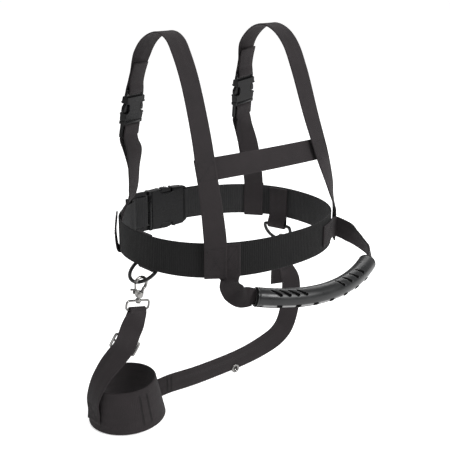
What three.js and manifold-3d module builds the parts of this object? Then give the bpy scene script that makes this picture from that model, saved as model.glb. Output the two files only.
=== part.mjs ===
// A child's ski training harness with a tow leash, in millimetres, +Z up.
// The wearer faces +Y, so the grab handle is at -Y and the waist buckle at +Y.
// The wearer's left side is at -X. The origin is the centre of the waist belt's ring.
import * as THREE from 'three';
import { mergeVertices } from 'three/addons/utils/BufferGeometryUtils.js';
import Module from 'manifold-3d';

const wasm = await Module();
wasm.setup();

// Webbing widths and thicknesses
const BELT_WIDTH = 40;
const STRAP_WIDTH = 25;
const BELT_THICK = 2.2;
const STRAP_THICK = 1.8;
const PLY_GAP = 0.3;
const PLY_PITCH = STRAP_THICK + PLY_GAP;

// The belt's ring is a superellipse
const BELT_HALF_X = 128.5;
const BELT_HALF_Y = 111;
const BELT_POWER = 2.3;

// Angles around the ring, measured from the +X side, in degrees
const LEFT_BACK_ANGLE = 226;
const RIGHT_BACK_ANGLE = 328;
const LEFT_FRONT_ANGLE = 151;
const RIGHT_FRONT_ANGLE = 34.5;
const HANDLE_ANGLE = 53;
const HANDLE_EXIT_ANGLE = 38;
const FOOT_GAP = 3;
const LEFT_TAB_ANGLE = 184;
const RIGHT_TAB_ANGLE = 18;
const RIGHT_TAB_DROP = 9.5;

// Layers outwards from the belt's middle plane
const OUTER_PLY_1 = BELT_THICK / 2 + PLY_GAP + STRAP_THICK / 2;
const OUTER_PLY_2 = OUTER_PLY_1 + PLY_PITCH + 0.9;
const INNER_PLY_1 = -OUTER_PLY_1 - 1.1;
const SEWN_HALF = BELT_WIDTH / 2 - 1;

// Shoulder straps
const APEX_X = 76;
const APEX_Z = 236;
const CROSS_Z = 96;
const SHOULDER_MOUTH = new THREE.Vector3(-84.8, 73.5, 131);
const SHOULDER_TOP = new THREE.Vector3(-82.2, 66.8, 168);
const RIGHT_BUCKLE_RISE = 5;
const LEFT_BUCKLE_TURN = 18;
const RIGHT_BUCKLE_TURN = 8;

// Side release buckles: webbing width, housing length, frame length, outer width and thickness
const SMALL_BUCKLE = { webbing: 25, housing: 37, frame: 20, outer: 34, thick: 8.6, arm: 3 };
const LARGE_BUCKLE = { webbing: 40, housing: 57, frame: 26, outer: 53, thick: 11, arm: 3.6 };
const BUCKLE_GAP = 0.4;
const WALL = 2;
const BAR_HALF_THICK = 1.7;
const WAIST_BUCKLE_X = -34;
const WAIST_BUCKLE_Y = 114;

// Handle
const GRIP_END_X = 85;
const GRIP_END_Y = -154;
const GRIP_MID_Y = -175;
const GRIP_END_Z = -22;
const GRIP_MID_Z = -31;
const GRIP_RADIUS = 10.5;
const GRIP_BORE = 7;
const GRIP_STEPS = 26;
const SHELL_GAP = 0.2;

// Leash hardware
const D_WIRE = 2.3;
const D_HALF = 19;
const D_DEPTH = 24;
const LEFT_SPLAY = 55;
const RIGHT_SPLAY = 22;
const JAW_RADIUS = 7.5;
const HOOK_WIRE = 1.8;
const HOOK_TILT = 12;
const JAW_Z = 17.5;
const PIVOT = { x: 6.4, z: 9.5 };
const EYE_HALF = 15.6;
const EYE_WIRE = 1.25;
const EYE_TOP = -2.4;
const EYE_LOW = -12.6;

const SLIDER_AT = new THREE.Vector3(-163.5, -22, -104);
const SLIDER_ACROSS = new THREE.Vector3(0.82, -0.55, 0);
const STUD_AT = new THREE.Vector3(14, 0, -194);

// Wrist loop
const LOOP_CENTRE = new THREE.Vector3(-151, 0, -180);
const LOOP_RADIUS = 40.5;
const LOOP_LEAN = 4;
const LOOP_TAPER = 9;
const LOOP_WIDTH = 50;
const LOOP_THICK = 2.2;

const UP = new THREE.Vector3(0, 0, 1);
const ALONG_X = new THREE.Vector3(1, 0, 0);

const vec = (x, y, z) => new THREE.Vector3(x, y, z);
const rad = THREE.MathUtils.degToRad;

// ---------------------------------------------------------------- materials

const finish = (hex, roughness, metalness) =>
  new THREE.MeshStandardMaterial({ color: hex, roughness, metalness });
const WEBBING = finish(0x232122, 0.9, 0);
const BELT_WEBBING = finish(0x2a2a2b, 0.85, 0);
const PLASTIC = finish(0x17181a, 0.45, 0);
const GRIP_PLASTIC = finish(0x2b2e31, 0.4, 0);
const BLACK_METAL = finish(0x1c1c1e, 0.35, 0.8);
const NICKEL = finish(0xc9c9c6, 0.25, 1);

// ------------------------------------------------------------- solid makers

// A closed body from equal rings of points, in order along its length
function loft(rings, closed = false) {
  const sides = rings[0].length;
  const last = closed ? rings.length : rings.length - 1;
  const index = [];
  for (let i = 0; i < last; i += 1) {
    const here = i * sides;
    const next = ((i + 1) % rings.length) * sides;
    for (let j = 0; j < sides; j += 1) {
      const k = (j + 1) % sides;
      index.push(here + j, next + j, next + k, here + j, next + k, here + k);
    }
  }
  if (!closed) {
    const end = (rings.length - 1) * sides;
    for (let j = 1; j < sides - 1; j += 1) {
      index.push(0, j, j + 1);
      index.push(end, end + j + 1, end + j);
    }
  }
  return closedBody(rings.flat(), index);
}

// Faces are turned so that the volume is positive
function closedBody(points, index) {
  let volume = 0;
  for (let i = 0; i < index.length; i += 3) {
    const [a, b, c] = [points[index[i]], points[index[i + 1]], points[index[i + 2]]];
    volume += a.dot(b.clone().cross(c));
  }
  if (volume < 0) index.reverse();
  const geometry = new THREE.BufferGeometry();
  geometry.setAttribute('position', new THREE.Float32BufferAttribute(points.flatMap((p) => p.toArray()), 3));
  geometry.setIndex(index);
  return geometry;
}

function directionAt(points, i, closed) {
  const count = points.length;
  const before = closed ? points[(i + count - 1) % count] : points[Math.max(i - 1, 0)];
  const after = closed ? points[(i + 1) % count] : points[Math.min(i + 1, count - 1)];
  return after.clone().sub(before).normalize();
}

// A flat strap: stations hold a centre and the direction of the strap's width,
// which may point to either side
function strap(stations, width, thick, closed = false) {
  const centres = stations.map((s) => s.at);
  const before = stations[0].across.clone();
  const rings = stations.map((s, i) => {
    const along = directionAt(centres, i, closed);
    const across = s.across.clone().addScaledVector(along, -s.across.dot(along)).normalize();
    if (across.dot(before) < 0) across.negate();
    before.copy(across);
    const normal = along.clone().cross(across);
    const half = (s.width ?? width) / 2;
    const corner = (u, v) => s.at.clone()
      .addScaledVector(across, u * half)
      .addScaledVector(normal, (v * thick) / 2);
    return [corner(1, 1), corner(-1, 1), corner(-1, -1), corner(1, -1)];
  });
  return loft(rings, closed);
}

// A round wire that lies in the plane square to a normal
function wire(points, radius, normal, closed = false, sides = 8) {
  const rings = points.map((point, i) => {
    const along = directionAt(points, i, closed);
    const side = along.clone().cross(normal).normalize();
    return Array.from({ length: sides }, (_, j) => {
      const turn = (2 * Math.PI * j) / sides;
      return point.clone()
        .addScaledVector(side, radius * Math.cos(turn))
        .addScaledVector(normal, radius * Math.sin(turn));
    });
  });
  return loft(rings, closed);
}

// Smooths hand-placed stations into an even run
function smooth(stations, steps) {
  const centre = new THREE.CatmullRomCurve3(stations.map((s) => s.at), false, 'centripetal');
  const across = new THREE.CatmullRomCurve3(stations.map((s) => s.across), false, 'centripetal');
  const widths = stations.map((s) => s.width ?? 0);
  return Array.from({ length: steps + 1 }, (_, i) => {
    const t = i / steps;
    const station = { at: centre.getPoint(t), across: across.getPoint(t).normalize() };
    if (widths.every((w) => w > 0)) {
      const place = t * (widths.length - 1);
      const low = Math.min(Math.floor(place), widths.length - 2);
      station.width = THREE.MathUtils.lerp(widths[low], widths[low + 1], place - low);
    }
    return station;
  });
}

function toSolid(geometry) {
  const bare = geometry.clone();
  bare.deleteAttribute('normal');
  bare.deleteAttribute('uv');
  const merged = mergeVertices(bare, 1e-4);
  return new wasm.Manifold(new wasm.Mesh({
    numProp: 3,
    vertProperties: new Float32Array(merged.attributes.position.array),
    triVerts: new Uint32Array(merged.index.array),
  }));
}

function fromSolid(solid) {
  const mesh = solid.getMesh();
  const geometry = new THREE.BufferGeometry();
  geometry.setAttribute('position', new THREE.BufferAttribute(new Float32Array(mesh.vertProperties), 3));
  geometry.setIndex(new THREE.BufferAttribute(new Uint32Array(mesh.triVerts), 1));
  return geometry;
}

const block = (x0, x1, y0, y1, z0, z1) => toSolid(
  new THREE.BoxGeometry(x1 - x0, y1 - y0, z1 - z0)
    .translate((x0 + x1) / 2, (y0 + y1) / 2, (z0 + z1) / 2),
);

const rod = (radius, length, sides = 14) => new THREE.CylinderGeometry(radius, radius, length, sides);

function node(name, geometry, material, parent) {
  const mesh = new THREE.Mesh(geometry, material.clone());
  mesh.name = name;
  parent.add(mesh);
  return mesh;
}

// --------------------------------------------------------- the belt's ring

// A place on the ring with its outward and sideways directions
function ringPlace(degrees, offset = 0, z = 0) {
  const turn = rad(degrees);
  const [cos, sin] = [Math.cos(turn), Math.sin(turn)];
  const sum = Math.abs(cos / BELT_HALF_X) ** BELT_POWER + Math.abs(sin / BELT_HALF_Y) ** BELT_POWER;
  const reach = sum ** (-1 / BELT_POWER);
  const [x, y] = [reach * cos, reach * sin];
  const slope = (value, half) => (Math.sign(value) * Math.abs(value / half) ** (BELT_POWER - 1)) / half;
  const out = vec(slope(x, BELT_HALF_X), slope(y, BELT_HALF_Y), 0).normalize();
  return { at: vec(x, y, z).addScaledVector(out, offset), out, side: UP.clone().cross(out) };
}

const mirrored = (stations) => stations.map((s) => ({
  ...s,
  at: s.at.clone().multiply(vec(-1, 1, 1)),
  across: s.across.clone().multiply(vec(-1, 1, 1)),
}));

// ---------------------------------------------------------------- buckles

// Profile of webbing round a bar, in the buckle's own length and height.
// The bar's middle is at x = 0 and both plies leave towards sign * x.
function foldRoundBar(halfBar, sign, thick) {
  const lift = BAR_HALF_THICK + PLY_GAP + thick / 2;
  const turn = halfBar + PLY_GAP + thick / 2 + 0.2;
  const bend = 0.55;
  const upper = [[halfBar * sign, lift], [-turn * bend * sign, lift], [-turn * sign, lift * bend]];
  const lower = upper.map(([x, z]) => [x, -z]).reverse();
  return [...upper, [-turn * sign, 0], ...lower];
}

// The female housing: a flat sleeve with thumb windows, and a slot and bar for its webbing
function housing(size) {
  const { webbing, housing: length, outer, thick } = size;
  const half = outer / 2;
  const shape = new THREE.Shape();
  const corner = outer * 0.16;
  shape.moveTo(0, -half + 1);
  shape.quadraticCurveTo(length * 0.35, -half - 0.6, length - corner, -half + 1.6);
  shape.quadraticCurveTo(length, -half + 2, length, -half + corner);
  shape.lineTo(length, half - corner);
  shape.quadraticCurveTo(length, half - 2, length - corner, half - 1.6);
  shape.quadraticCurveTo(length * 0.35, half + 0.6, 0, half - 1);
  const bevel = 1;
  const body = new THREE.ExtrudeGeometry(shape, {
    depth: thick - 2 * bevel,
    bevelThickness: bevel,
    bevelSize: bevel,
    bevelOffset: -bevel,
    bevelSegments: 2,
    curveSegments: 6,
  }).translate(0, 0, -thick / 2 + bevel);
  const pocket = length * 0.62;
  const slot = length - 7;
  const inner = thick / 2 - WALL + 0.5;
  const thin = (z0, z1) => block(slot - 1.5, length + 3, -half - 2, half + 2, z0, z1);
  return toSolid(body)
    .subtract(block(-2, pocket, -half + 3, half - 3, -inner, inner))
    .subtract(block(length * 0.26, length * 0.56, half - 6, half + 4, -thick, thick))
    .subtract(block(length * 0.26, length * 0.56, -half - 4, -half + 6, -thick, thick))
    .subtract(thin(BAR_HALF_THICK, thick))
    .subtract(thin(-thick, -BAR_HALF_THICK))
    .subtract(block(slot, length - 3.5, -webbing / 2 - 1, webbing / 2 + 1, -thick, thick));
}

// The male frame: a shoulder, two ladder slots with a bar between, and a centre guide
function ladderFrame(size) {
  const { webbing, housing: length, frame, outer, thick } = size;
  const half = outer / 2 - 0.6;
  const bar = ladderBar(size);
  const slotHalf = webbing / 2 + 1;
  const shoulder = block(-4.2, -BUCKLE_GAP, -half, half, -thick / 2 + 0.5, thick / 2 - 0.5);
  const plate = block(-frame, -4, -half, half, -BAR_HALF_THICK, BAR_HALF_THICK);
  const guide = block(-1, length * 0.42, -webbing * 0.1, webbing * 0.1, -thick * 0.22, thick * 0.22);
  return shoulder.add(plate).add(guide)
    .subtract(block(-frame + 3, bar - 1.5, -slotHalf, slotHalf, -thick, thick))
    .subtract(block(bar + 1.5, -4.1, -slotHalf, slotHalf, -thick, thick));
}

const ladderBar = (size) => -4.6 - 0.2 * size.frame;

// One spring prong, standing on the +Y or -Y side
function prong(size, side) {
  const { housing: length, outer, thick, arm } = size;
  const root = outer / 2 - 3.6;
  const height = thick / 2 - WALL - 0.1;
  const shape = new THREE.Shape();
  shape.moveTo(-0.1, root - arm);
  shape.lineTo(length * 0.5, root - arm - 0.6);
  shape.lineTo(length * 0.54, root - arm + 1);
  shape.lineTo(length * 0.54, outer / 2 - 2);
  shape.quadraticCurveTo(length * 0.44, outer / 2 + 1.2, length * 0.29, outer / 2 + 0.2);
  shape.lineTo(length * 0.29, root);
  shape.lineTo(-0.1, root);
  const options = { depth: 2 * height, bevelEnabled: false, curveSegments: 5 };
  const geometry = new THREE.ExtrudeGeometry(shape, options).translate(0, 0, -height);
  return side > 0 ? geometry : geometry.scale(1, -1, 1);
}

// Turned geometry keeps its faces outwards
function outwards(geometry) {
  const bare = geometry.clone();
  bare.deleteAttribute('normal');
  bare.deleteAttribute('uv');
  const merged = mergeVertices(bare, 1e-4);
  const position = merged.attributes.position;
  const points = Array.from({ length: position.count }, (_, i) => vec().fromBufferAttribute(position, i));
  return closedBody(points, Array.from(merged.index.array));
}

// A mated buckle whose mouth is at a place, with its length and outer face turned as given
function buckle(prefix, size, place, length, face, parent) {
  const group = new THREE.Group();
  const x = length.clone().normalize();
  const z = face.clone().addScaledVector(x, -face.dot(x)).normalize();
  group.matrixAutoUpdate = false;
  group.matrix.makeBasis(x, z.clone().cross(x), z).setPosition(place);
  parent.add(group);
  node(`${prefix}_buckle_housing`, fromSolid(housing(size)), PLASTIC, group);
  node(`${prefix}_buckle_frame`, fromSolid(ladderFrame(size)), PLASTIC, group);
  node(`${prefix}_buckle_prong_a`, outwards(prong(size, 1)), PLASTIC, group);
  node(`${prefix}_buckle_prong_b`, outwards(prong(size, -1)), PLASTIC, group);
  return { matrix: group.matrix, length: x, across: z.clone().cross(x), hand: -Math.sign(place.x) };
}

// Stations for a profile given in a buckle's length and height, and a twist in degrees
const inBuckle = (seat, profile) => profile.map(([x, z, twist = 0]) => ({
  at: vec(x, 0, z).applyMatrix4(seat.matrix),
  across: seat.across.clone().applyAxisAngle(seat.length, rad(twist * seat.hand)),
}));

// ------------------------------------------------------------ the shoulders

function shoulderSide(name, flip, parent) {
  const side = flip ? vec(-1, 1, 1) : vec(1, 1, 1);
  const turnOver = (stations) => (flip ? mirrored(stations) : stations);
  const length = SHOULDER_TOP.clone().sub(SHOULDER_MOUTH).normalize().multiply(side);
  const mouth = SHOULDER_MOUTH.clone().multiply(side).addScaledVector(length, flip ? RIGHT_BUCKLE_RISE : 0);
  const turn = rad(flip ? RIGHT_BUCKLE_TURN : LEFT_BUCKLE_TURN);
  const face = vec(-Math.sin(turn), Math.cos(turn), 0);
  const seat = buckle(name, SMALL_BUCKLE, mouth, length, face, parent);
  const back = flip ? RIGHT_BACK : LEFT_BACK;
  node(`${name}_shoulder_strap`, shoulderStrap(seat, back, turnOver), WEBBING, parent);
  const angle = flip ? 180 - RIGHT_FRONT_ANGLE : LEFT_FRONT_ANGLE;
  node(`${name}_front_strap`, frontStrap(seat, angle, turnOver), WEBBING, parent);
}

// Lower stations of each shoulder strap as on the left side: the foot's angle, then places and turns
const LEFT_BACK = { foot: LEFT_BACK_ANGLE, rise: [[-87, -86, 50, 20], [-84, -71.5, 96, 8], [-81, -58, 134, 4]] };
const RIGHT_BACK = {
  foot: 540 - RIGHT_BACK_ANGLE,
  rise: [[-101, -75, 50, 32], [-86, -71.5, 96, 10], [-82, -58, 134, 4]],
};

// Sewn on the belt at the back, over the shoulder, round the housing's bar and back on itself
function shoulderStrap(seat, back, turnOver) {
  const sewn = [-SEWN_HALF, 0, SEWN_HALF].map((z) => {
    const place = ringPlace(back.foot, OUTER_PLY_2, z);
    return { at: place.at, across: place.side };
  });
  const across = (degrees) => vec(Math.cos(rad(degrees)), -Math.sin(rad(degrees)), 0);
  const run = [
    ...back.rise.map(([x, y, z, turn]) => ({ at: vec(x, y, z), across: across(turn) })),
    { at: vec(-79.5, -37, 189), across: across(0) },
    { at: vec(-79, -22, 216), across: across(0) },
    { at: vec(-77, -8, 230), across: across(0) },
    { at: vec(-APEX_X, 9, APEX_Z), across: across(0) },
    { at: vec(-76, 25, 234), across: across(0) },
    { at: vec(-77, 42, 225), across: across(0) },
    { at: vec(-77.5, 55, 211), across: across(0) },
  ];
  const free = turnOver(smooth([...sewn, ...run], 44));
  const bar = SMALL_BUCKLE.housing - 1.75;
  const fold = foldRoundBar(1.75, 1, STRAP_THICK).map(([x, z]) => [x + bar, z]);
  const entry = [[bar + 20, 0.4], [bar + 10, 1.6]];
  const tail = [[bar + 9, -1.6], [bar + 20, -2.2], [bar + 34, -4.6]];
  return strap([...free, ...inBuckle(seat, [...entry, ...fold, ...tail])], STRAP_WIDTH, STRAP_THICK);
}

// A loop round the belt, then up to the ladder bar, with its loose tail hanging in front
function frontStrap(seat, angle, turnOver) {
  const onBelt = (offset, z) => {
    const place = ringPlace(angle, offset, z);
    return { at: place.at, across: place.side.negate() };
  };
  const inner = INNER_PLY_1;
  const under = -BELT_WIDTH / 2 - PLY_GAP - STRAP_THICK / 2;
  const loop = [
    [OUTER_PLY_1 + 0.4, BELT_WIDTH / 2 + 2], [OUTER_PLY_1 + 2.6, 0], [OUTER_PLY_1 + 0.6, under + 2],
    [OUTER_PLY_1 - 1, under],
    [inner + 1, under], [inner, under + 1.2], [inner, 0],
  ].map(([offset, z]) => onBelt(offset, z));
  const across = (degrees) => vec(Math.cos(rad(degrees)), Math.sin(rad(degrees)), 0);
  const run = smooth([
    onBelt(inner - 0.3, BELT_WIDTH / 2 + 2),
    { at: vec(-93, 62, 46), across: across(34) },
    { at: vec(-88.5, 64, 77), across: across(25) },
    { at: vec(-85.2, 67.5, 97), across: across(14) },
  ], 15);
  const bar = ladderBar(SMALL_BUCKLE);
  const fold = foldRoundBar(1.5, -1, STRAP_THICK).map(([x, z]) => [x + bar, z]).reverse();
  const end = -SMALL_BUCKLE.frame;
  const lift = BAR_HALF_THICK + PLY_GAP + STRAP_THICK / 2;
  const entry = [[end - 5, -lift - 2.4], [end + 1, -lift]];
  const tail = [
    [end - 1, lift], [end - 7, lift - 0.6, 3], [end - 15, lift - 5, 8], [end - 30, lift - 12.5, 14],
    [end - 46, lift - 18.5, 18],
  ];
  const stations = [...turnOver([...loop, ...run]), ...inBuckle(seat, [...entry, ...fold, ...tail])];
  return strap(stations, STRAP_WIDTH, STRAP_THICK);
}

// Lies inside the two back straps
function crossStrap(parent) {
  const end = vec(94, -66, CROSS_Z);
  const lean = vec(0, 0.29, 0.957);
  const stations = [-1, -0.6, -0.2, 0.2, 0.6, 1].map((k) => ({
    at: vec(end.x * k, end.y - 3 * (1 - k * k), end.z),
    across: lean,
  }));
  node('back_cross_strap', strap(smooth(stations, 16), STRAP_WIDTH, STRAP_THICK), WEBBING, parent);
}

// ------------------------------------------------------------------ waist

// Round the body from the housing's bar to the ladder bar, with its tail turned back outside
function waist(parent) {
  const mouth = vec(WAIST_BUCKLE_X, WAIST_BUCKLE_Y, 0);
  const seat = buckle('waist', LARGE_BUCKLE, mouth, ALONG_X, vec(0, 1, 0), parent);
  const housingBar = LARGE_BUCKLE.housing - 1.75;
  const housingFold = foldRoundBar(1.75, 1, BELT_THICK).map(([x, z]) => [x + housingBar, z]);
  const sewnTail = [[housingBar + 34, -1.2], [housingBar + 20, 1], [housingBar + 8, 2.6]];
  const start = inBuckle(seat, [...sewnTail, ...housingFold]);
  const round = Array.from({ length: 61 }, (_, i) => {
    const place = ringPlace(66 - (302 * i) / 60);
    return { at: place.at, across: UP };
  });
  const bar = ladderBar(LARGE_BUCKLE);
  const frameFold = foldRoundBar(1.5, -1, BELT_THICK).map(([x, z]) => [x + bar, z]).reverse();
  const end = -LARGE_BUCKLE.frame;
  const lift = BAR_HALF_THICK + PLY_GAP + BELT_THICK / 2;
  const entry = [[end - 1, -lift]];
  const tail = [[end - 1, lift], [end - 8, lift + 0.4]];
  const last = inBuckle(seat, [...entry, ...frameFold, ...tail]);
  node('waist_belt', strap([...start, ...round, ...last], BELT_WIDTH, BELT_THICK), BELT_WEBBING, parent);
}

// ----------------------------------------------------------------- handle

const gripPoint = (k) => vec(
  GRIP_END_X * k,
  GRIP_MID_Y + (GRIP_END_Y - GRIP_MID_Y) * k * k,
  GRIP_MID_Z + (GRIP_END_Z - GRIP_MID_Z) * k * k,
);

// Half of the moulded tube round the webbing, split along its flat middle plane
function gripShell(sign) {
  const slotHalf = STRAP_THICK / 2 + PLY_GAP + 0.2;
  const rings = Array.from({ length: GRIP_STEPS + 1 }, (_, i) => {
    const k = (2 * i) / GRIP_STEPS - 1;
    const centre = gripPoint(k);
    const along = gripPoint(k + 0.01).sub(gripPoint(k - 0.01)).normalize();
    const out = along.clone().cross(UP).normalize();
    const up = out.clone().cross(along);
    const radius = GRIP_RADIUS * (Math.abs(k) > 0.94 ? 0.9 : 1);
    const outline = [];
    const sides = 9;
    for (let j = 0; j <= sides; j += 1) {
      const turn = (Math.PI * j) / sides;
      outline.push([radius * Math.cos(turn), radius * Math.sin(turn) + SHELL_GAP]);
    }
    outline.push([-slotHalf, SHELL_GAP], [-slotHalf, GRIP_BORE]);
    outline.push([slotHalf, GRIP_BORE], [slotHalf, SHELL_GAP]);
    return outline.map(([u, v]) => centre.clone().addScaledVector(out, u).addScaledVector(up, v * sign));
  });
  return loftConcave(rings);
}

// A loft whose end outlines aren't convex, capped by three's triangulation
function loftConcave(rings) {
  const sides = rings[0].length;
  const cap = (ring) => {
    const middle = ring[0].clone().lerp(ring[9], 0.5);
    const u = ring[0].clone().sub(middle).normalize();
    const raw = ring[4].clone().sub(middle);
    const v = raw.addScaledVector(u, -raw.dot(u)).normalize();
    const flat = ring.map((p) => {
      const arm = p.clone().sub(middle);
      return new THREE.Vector2(arm.dot(u), arm.dot(v));
    });
    return THREE.ShapeUtils.triangulateShape(flat, []);
  };
  const index = [];
  for (let i = 0; i < rings.length - 1; i += 1) {
    for (let j = 0; j < sides; j += 1) {
      const k = (j + 1) % sides;
      const [a, b] = [i * sides, (i + 1) * sides];
      index.push(a + j, b + j, b + k, a + j, b + k, a + k);
    }
  }
  const end = (rings.length - 1) * sides;
  cap(rings[0]).forEach(([a, b, c]) => index.push(a, b, c));
  cap(rings.at(-1)).forEach(([a, b, c]) => index.push(end + c, end + b, end + a));
  return closedBody(rings.flat(), index);
}

// The sewn ends of the handle's webbing, under the ends of the shoulder straps
function handleTabs(parent) {
  const left = ringPlace(180 + HANDLE_ANGLE, OUTER_PLY_1);
  const down = [SEWN_HALF, -SEWN_HALF + 0.5].map((z) => ({ at: left.at.clone().setZ(z), across: left.side }));
  node('left_handle_tab', strap(down, STRAP_WIDTH, STRAP_THICK), WEBBING, parent);
  const round = Array.from({ length: 6 }, (_, i) => {
    const angle = 360 - THREE.MathUtils.lerp(HANDLE_ANGLE + 5, HANDLE_EXIT_ANGLE, i / 5);
    return { at: ringPlace(angle, OUTER_PLY_1).at, across: UP };
  });
  node('right_handle_tab', strap(round, STRAP_WIDTH, STRAP_THICK), WEBBING, parent);
}

// Webbing that hangs off the belt at each side and runs through the grip
function handle(parent) {
  const width = 2 * (GRIP_BORE - 2 * PLY_GAP);
  const inner = Array.from({ length: GRIP_STEPS + 1 }, (_, i) => (
    { at: gripPoint((2 * i) / GRIP_STEPS - 1), across: UP, width }
  ));
  const leftFoot = ringPlace(180 + HANDLE_ANGLE, OUTER_PLY_1 + 1, -BELT_WIDTH / 2 - FOOT_GAP);
  const beside = (k) => ({ at: gripPoint(k), across: UP, width });
  const left = [
    { at: leftFoot.at, across: leftFoot.side, width: STRAP_WIDTH - 8 },
    { at: vec(-84, -111, -29), across: vec(0.8, -0.55, 0.15), width: STRAP_WIDTH - 3 },
    { at: vec(-92.5, -127, -32.5), across: vec(0.55, -0.35, 0.6), width: STRAP_WIDTH },
    { at: vec(-95, -143, -28), across: vec(0.2, -0.15, 0.96), width: STRAP_WIDTH - 5 },
    beside(-1.04),
  ];
  const rightFoot = ringPlace(360 - HANDLE_EXIT_ANGLE + 0.6, OUTER_PLY_1 + 0.2);
  const right = [
    beside(1.04),
    { at: vec(99, -146, -18), across: vec(-0.3, 0, 0.95), width: STRAP_WIDTH - 6 },
    { at: vec(107.5, -131, -15), across: vec(-0.45, -0.2, 0.87), width: STRAP_WIDTH - 2 },
    { at: vec(109, -112, -8), across: vec(-0.25, -0.15, 0.95), width: STRAP_WIDTH },
    { at: vec(107.5, -99, -3), across: UP, width: STRAP_WIDTH },
    { at: rightFoot.at.clone().add(vec(1.2, -4, 0)), across: UP, width: STRAP_WIDTH },
  ];
  const stations = [...smooth(left, 12), ...inner, ...smooth(right, 12)];
  node('handle_strap', strap(stations, STRAP_WIDTH, STRAP_THICK), WEBBING, parent);
  node('grip_upper_shell', gripShell(1), GRIP_PLASTIC, parent);
  node('grip_lower_shell', gripShell(-1), GRIP_PLASTIC, parent);
}

// ------------------------------------------------------- D-rings and tabs

// The ring's bar hangs in a fold of webbing sewn inside the belt
const BAR_OFFSET = INNER_PLY_1 - STRAP_THICK / 2 - PLY_GAP - D_WIRE;
const BAR_Z = -BELT_WIDTH / 2 - 1;
const TABS = {
  left: { angle: LEFT_TAB_ANGLE, barZ: BAR_Z, splay: LEFT_SPLAY },
  right: { angle: RIGHT_TAB_ANGLE, barZ: BAR_Z - RIGHT_TAB_DROP, splay: RIGHT_SPLAY },
};

function ringTab(name, angle, barZ, parent) {
  const first = INNER_PLY_1;
  const reach = D_WIRE + PLY_GAP + STRAP_THICK / 2;
  const inward = (offset, z) => {
    const place = ringPlace(angle, offset, z);
    return { at: place.at, across: place.side };
  };
  const arc = [1, 2, 3, 4, 5].map((i) => {
    const turn = (Math.PI * i) / 6;
    return inward(BAR_OFFSET + reach * Math.cos(turn), barZ - reach * Math.sin(turn));
  });
  const stations = [
    inward(first, SEWN_HALF), inward(first, 0), inward(first, barZ), ...arc,
    inward(BAR_OFFSET - reach, barZ), inward(BAR_OFFSET - reach + 0.6, barZ + 4),
    inward(first - PLY_PITCH, barZ + 14), inward(first - PLY_PITCH, SEWN_HALF),
  ];
  node(`${name}_ring_tab`, strap(stations, STRAP_WIDTH, STRAP_THICK), WEBBING, parent);
}

// The frame in which a D-ring hangs: its bar's middle, the bar's direction and its fall
function ringFrame({ angle, barZ, splay: degrees }) {
  const place = ringPlace(angle, BAR_OFFSET, barZ);
  const splay = rad(degrees);
  const fall = place.out.clone().multiplyScalar(Math.sin(splay)).addScaledVector(UP, -Math.cos(splay));
  return { bar: place.at, along: place.side, fall, out: place.out };
}

function dRing(name, tab, parent) {
  const { bar, along, fall } = ringFrame(tab);
  const at = (u, v) => bar.clone().addScaledVector(along, u).addScaledVector(fall, v);
  const straight = D_DEPTH - D_HALF;
  const points = [at(-D_HALF + 3, 0), at(0, 0), at(D_HALF - 3, 0), at(D_HALF - 0.8, 1.2), at(D_HALF, 4)];
  for (let i = 1; i < 14; i += 1) {
    const turn = (Math.PI * i) / 14;
    points.push(at(D_HALF * Math.cos(turn), straight + D_HALF * Math.sin(turn)));
  }
  points.push(at(-D_HALF, 4), at(-D_HALF + 0.8, 1.2));
  node(`${name}_d_ring`, wire(points, D_WIRE, along.clone().cross(fall), true), BLACK_METAL, parent);
}

// ------------------------------------------------------------ snap hooks

// In the hook's own frame the swivel axis is Z, the eye's collar is at the origin
// and the jaw opens on +X
function hookBody() {
  const arc = [];
  for (let i = 0; i <= 16; i += 1) {
    const turn = rad(232 - (i * 218) / 16);
    arc.push(vec(JAW_RADIUS * Math.cos(turn), 0, JAW_Z + JAW_RADIUS * Math.sin(turn)));
  }
  const jaw = wire([vec(-3.4, 0, 6.5), ...arc], HOOK_WIRE, vec(0, 1, 0));
  const profile = [
    [0, -5.4], [2.6, -5.4], [2.6, -4.3], [1.5, -4.3], [1.5, 1.4], [3.6, 1.4], [4.3, 2.6], [4.9, 4.6],
    [4.9, 7.4], [3.4, 9], [0, 9],
  ];
  const outline = profile.map(([r, z]) => new THREE.Vector2(r, z));
  const shank = new THREE.LatheGeometry(outline, 16).rotateX(Math.PI / 2);
  const lug = block(2, PIVOT.x + 1.4, -2.6, 2.6, 4.6, PIVOT.z + 1.2);
  const slot = block(3.4, PIVOT.x + 3, -1.5, 1.5, 6.6, PIVOT.z + 4);
  const bore = toSolid(rod(0.9, 8, 10).translate(PIVOT.x - 0.6, 0, PIVOT.z - 1));
  const whole = toSolid(outwards(jaw)).add(toSolid(outwards(shank))).add(lug);
  return fromSolid(whole.subtract(slot).subtract(bore));
}

// The gate: a rod from its pivot up to the jaw's nose, with a thumb stub
function hookGate() {
  const base = vec(PIVOT.x - 0.6, 0, PIVOT.z - 1);
  const tip = vec(JAW_RADIUS + 0.3, 0, JAW_Z + 0.4);
  const blade = toSolid(outwards(wire([base, tip], 1.2, vec(0, 1, 0))));
  const stub = toSolid(rod(0.9, 5.4, 10).rotateZ(Math.PI / 2).translate(PIVOT.x + 3.6, 0, PIVOT.z + 1.2));
  const bore = toSolid(rod(0.85, 8, 10).translate(base.x, 0, base.z));
  const boss = toSolid(rod(1.9, 2.4, 12).translate(base.x, 0, base.z));
  return fromSolid(blade.add(boss).add(stub).subtract(bore));
}

const gatePin = () => rod(0.6, 5, 10).translate(PIVOT.x - 0.6, 0, PIVOT.z - 1);

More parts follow.
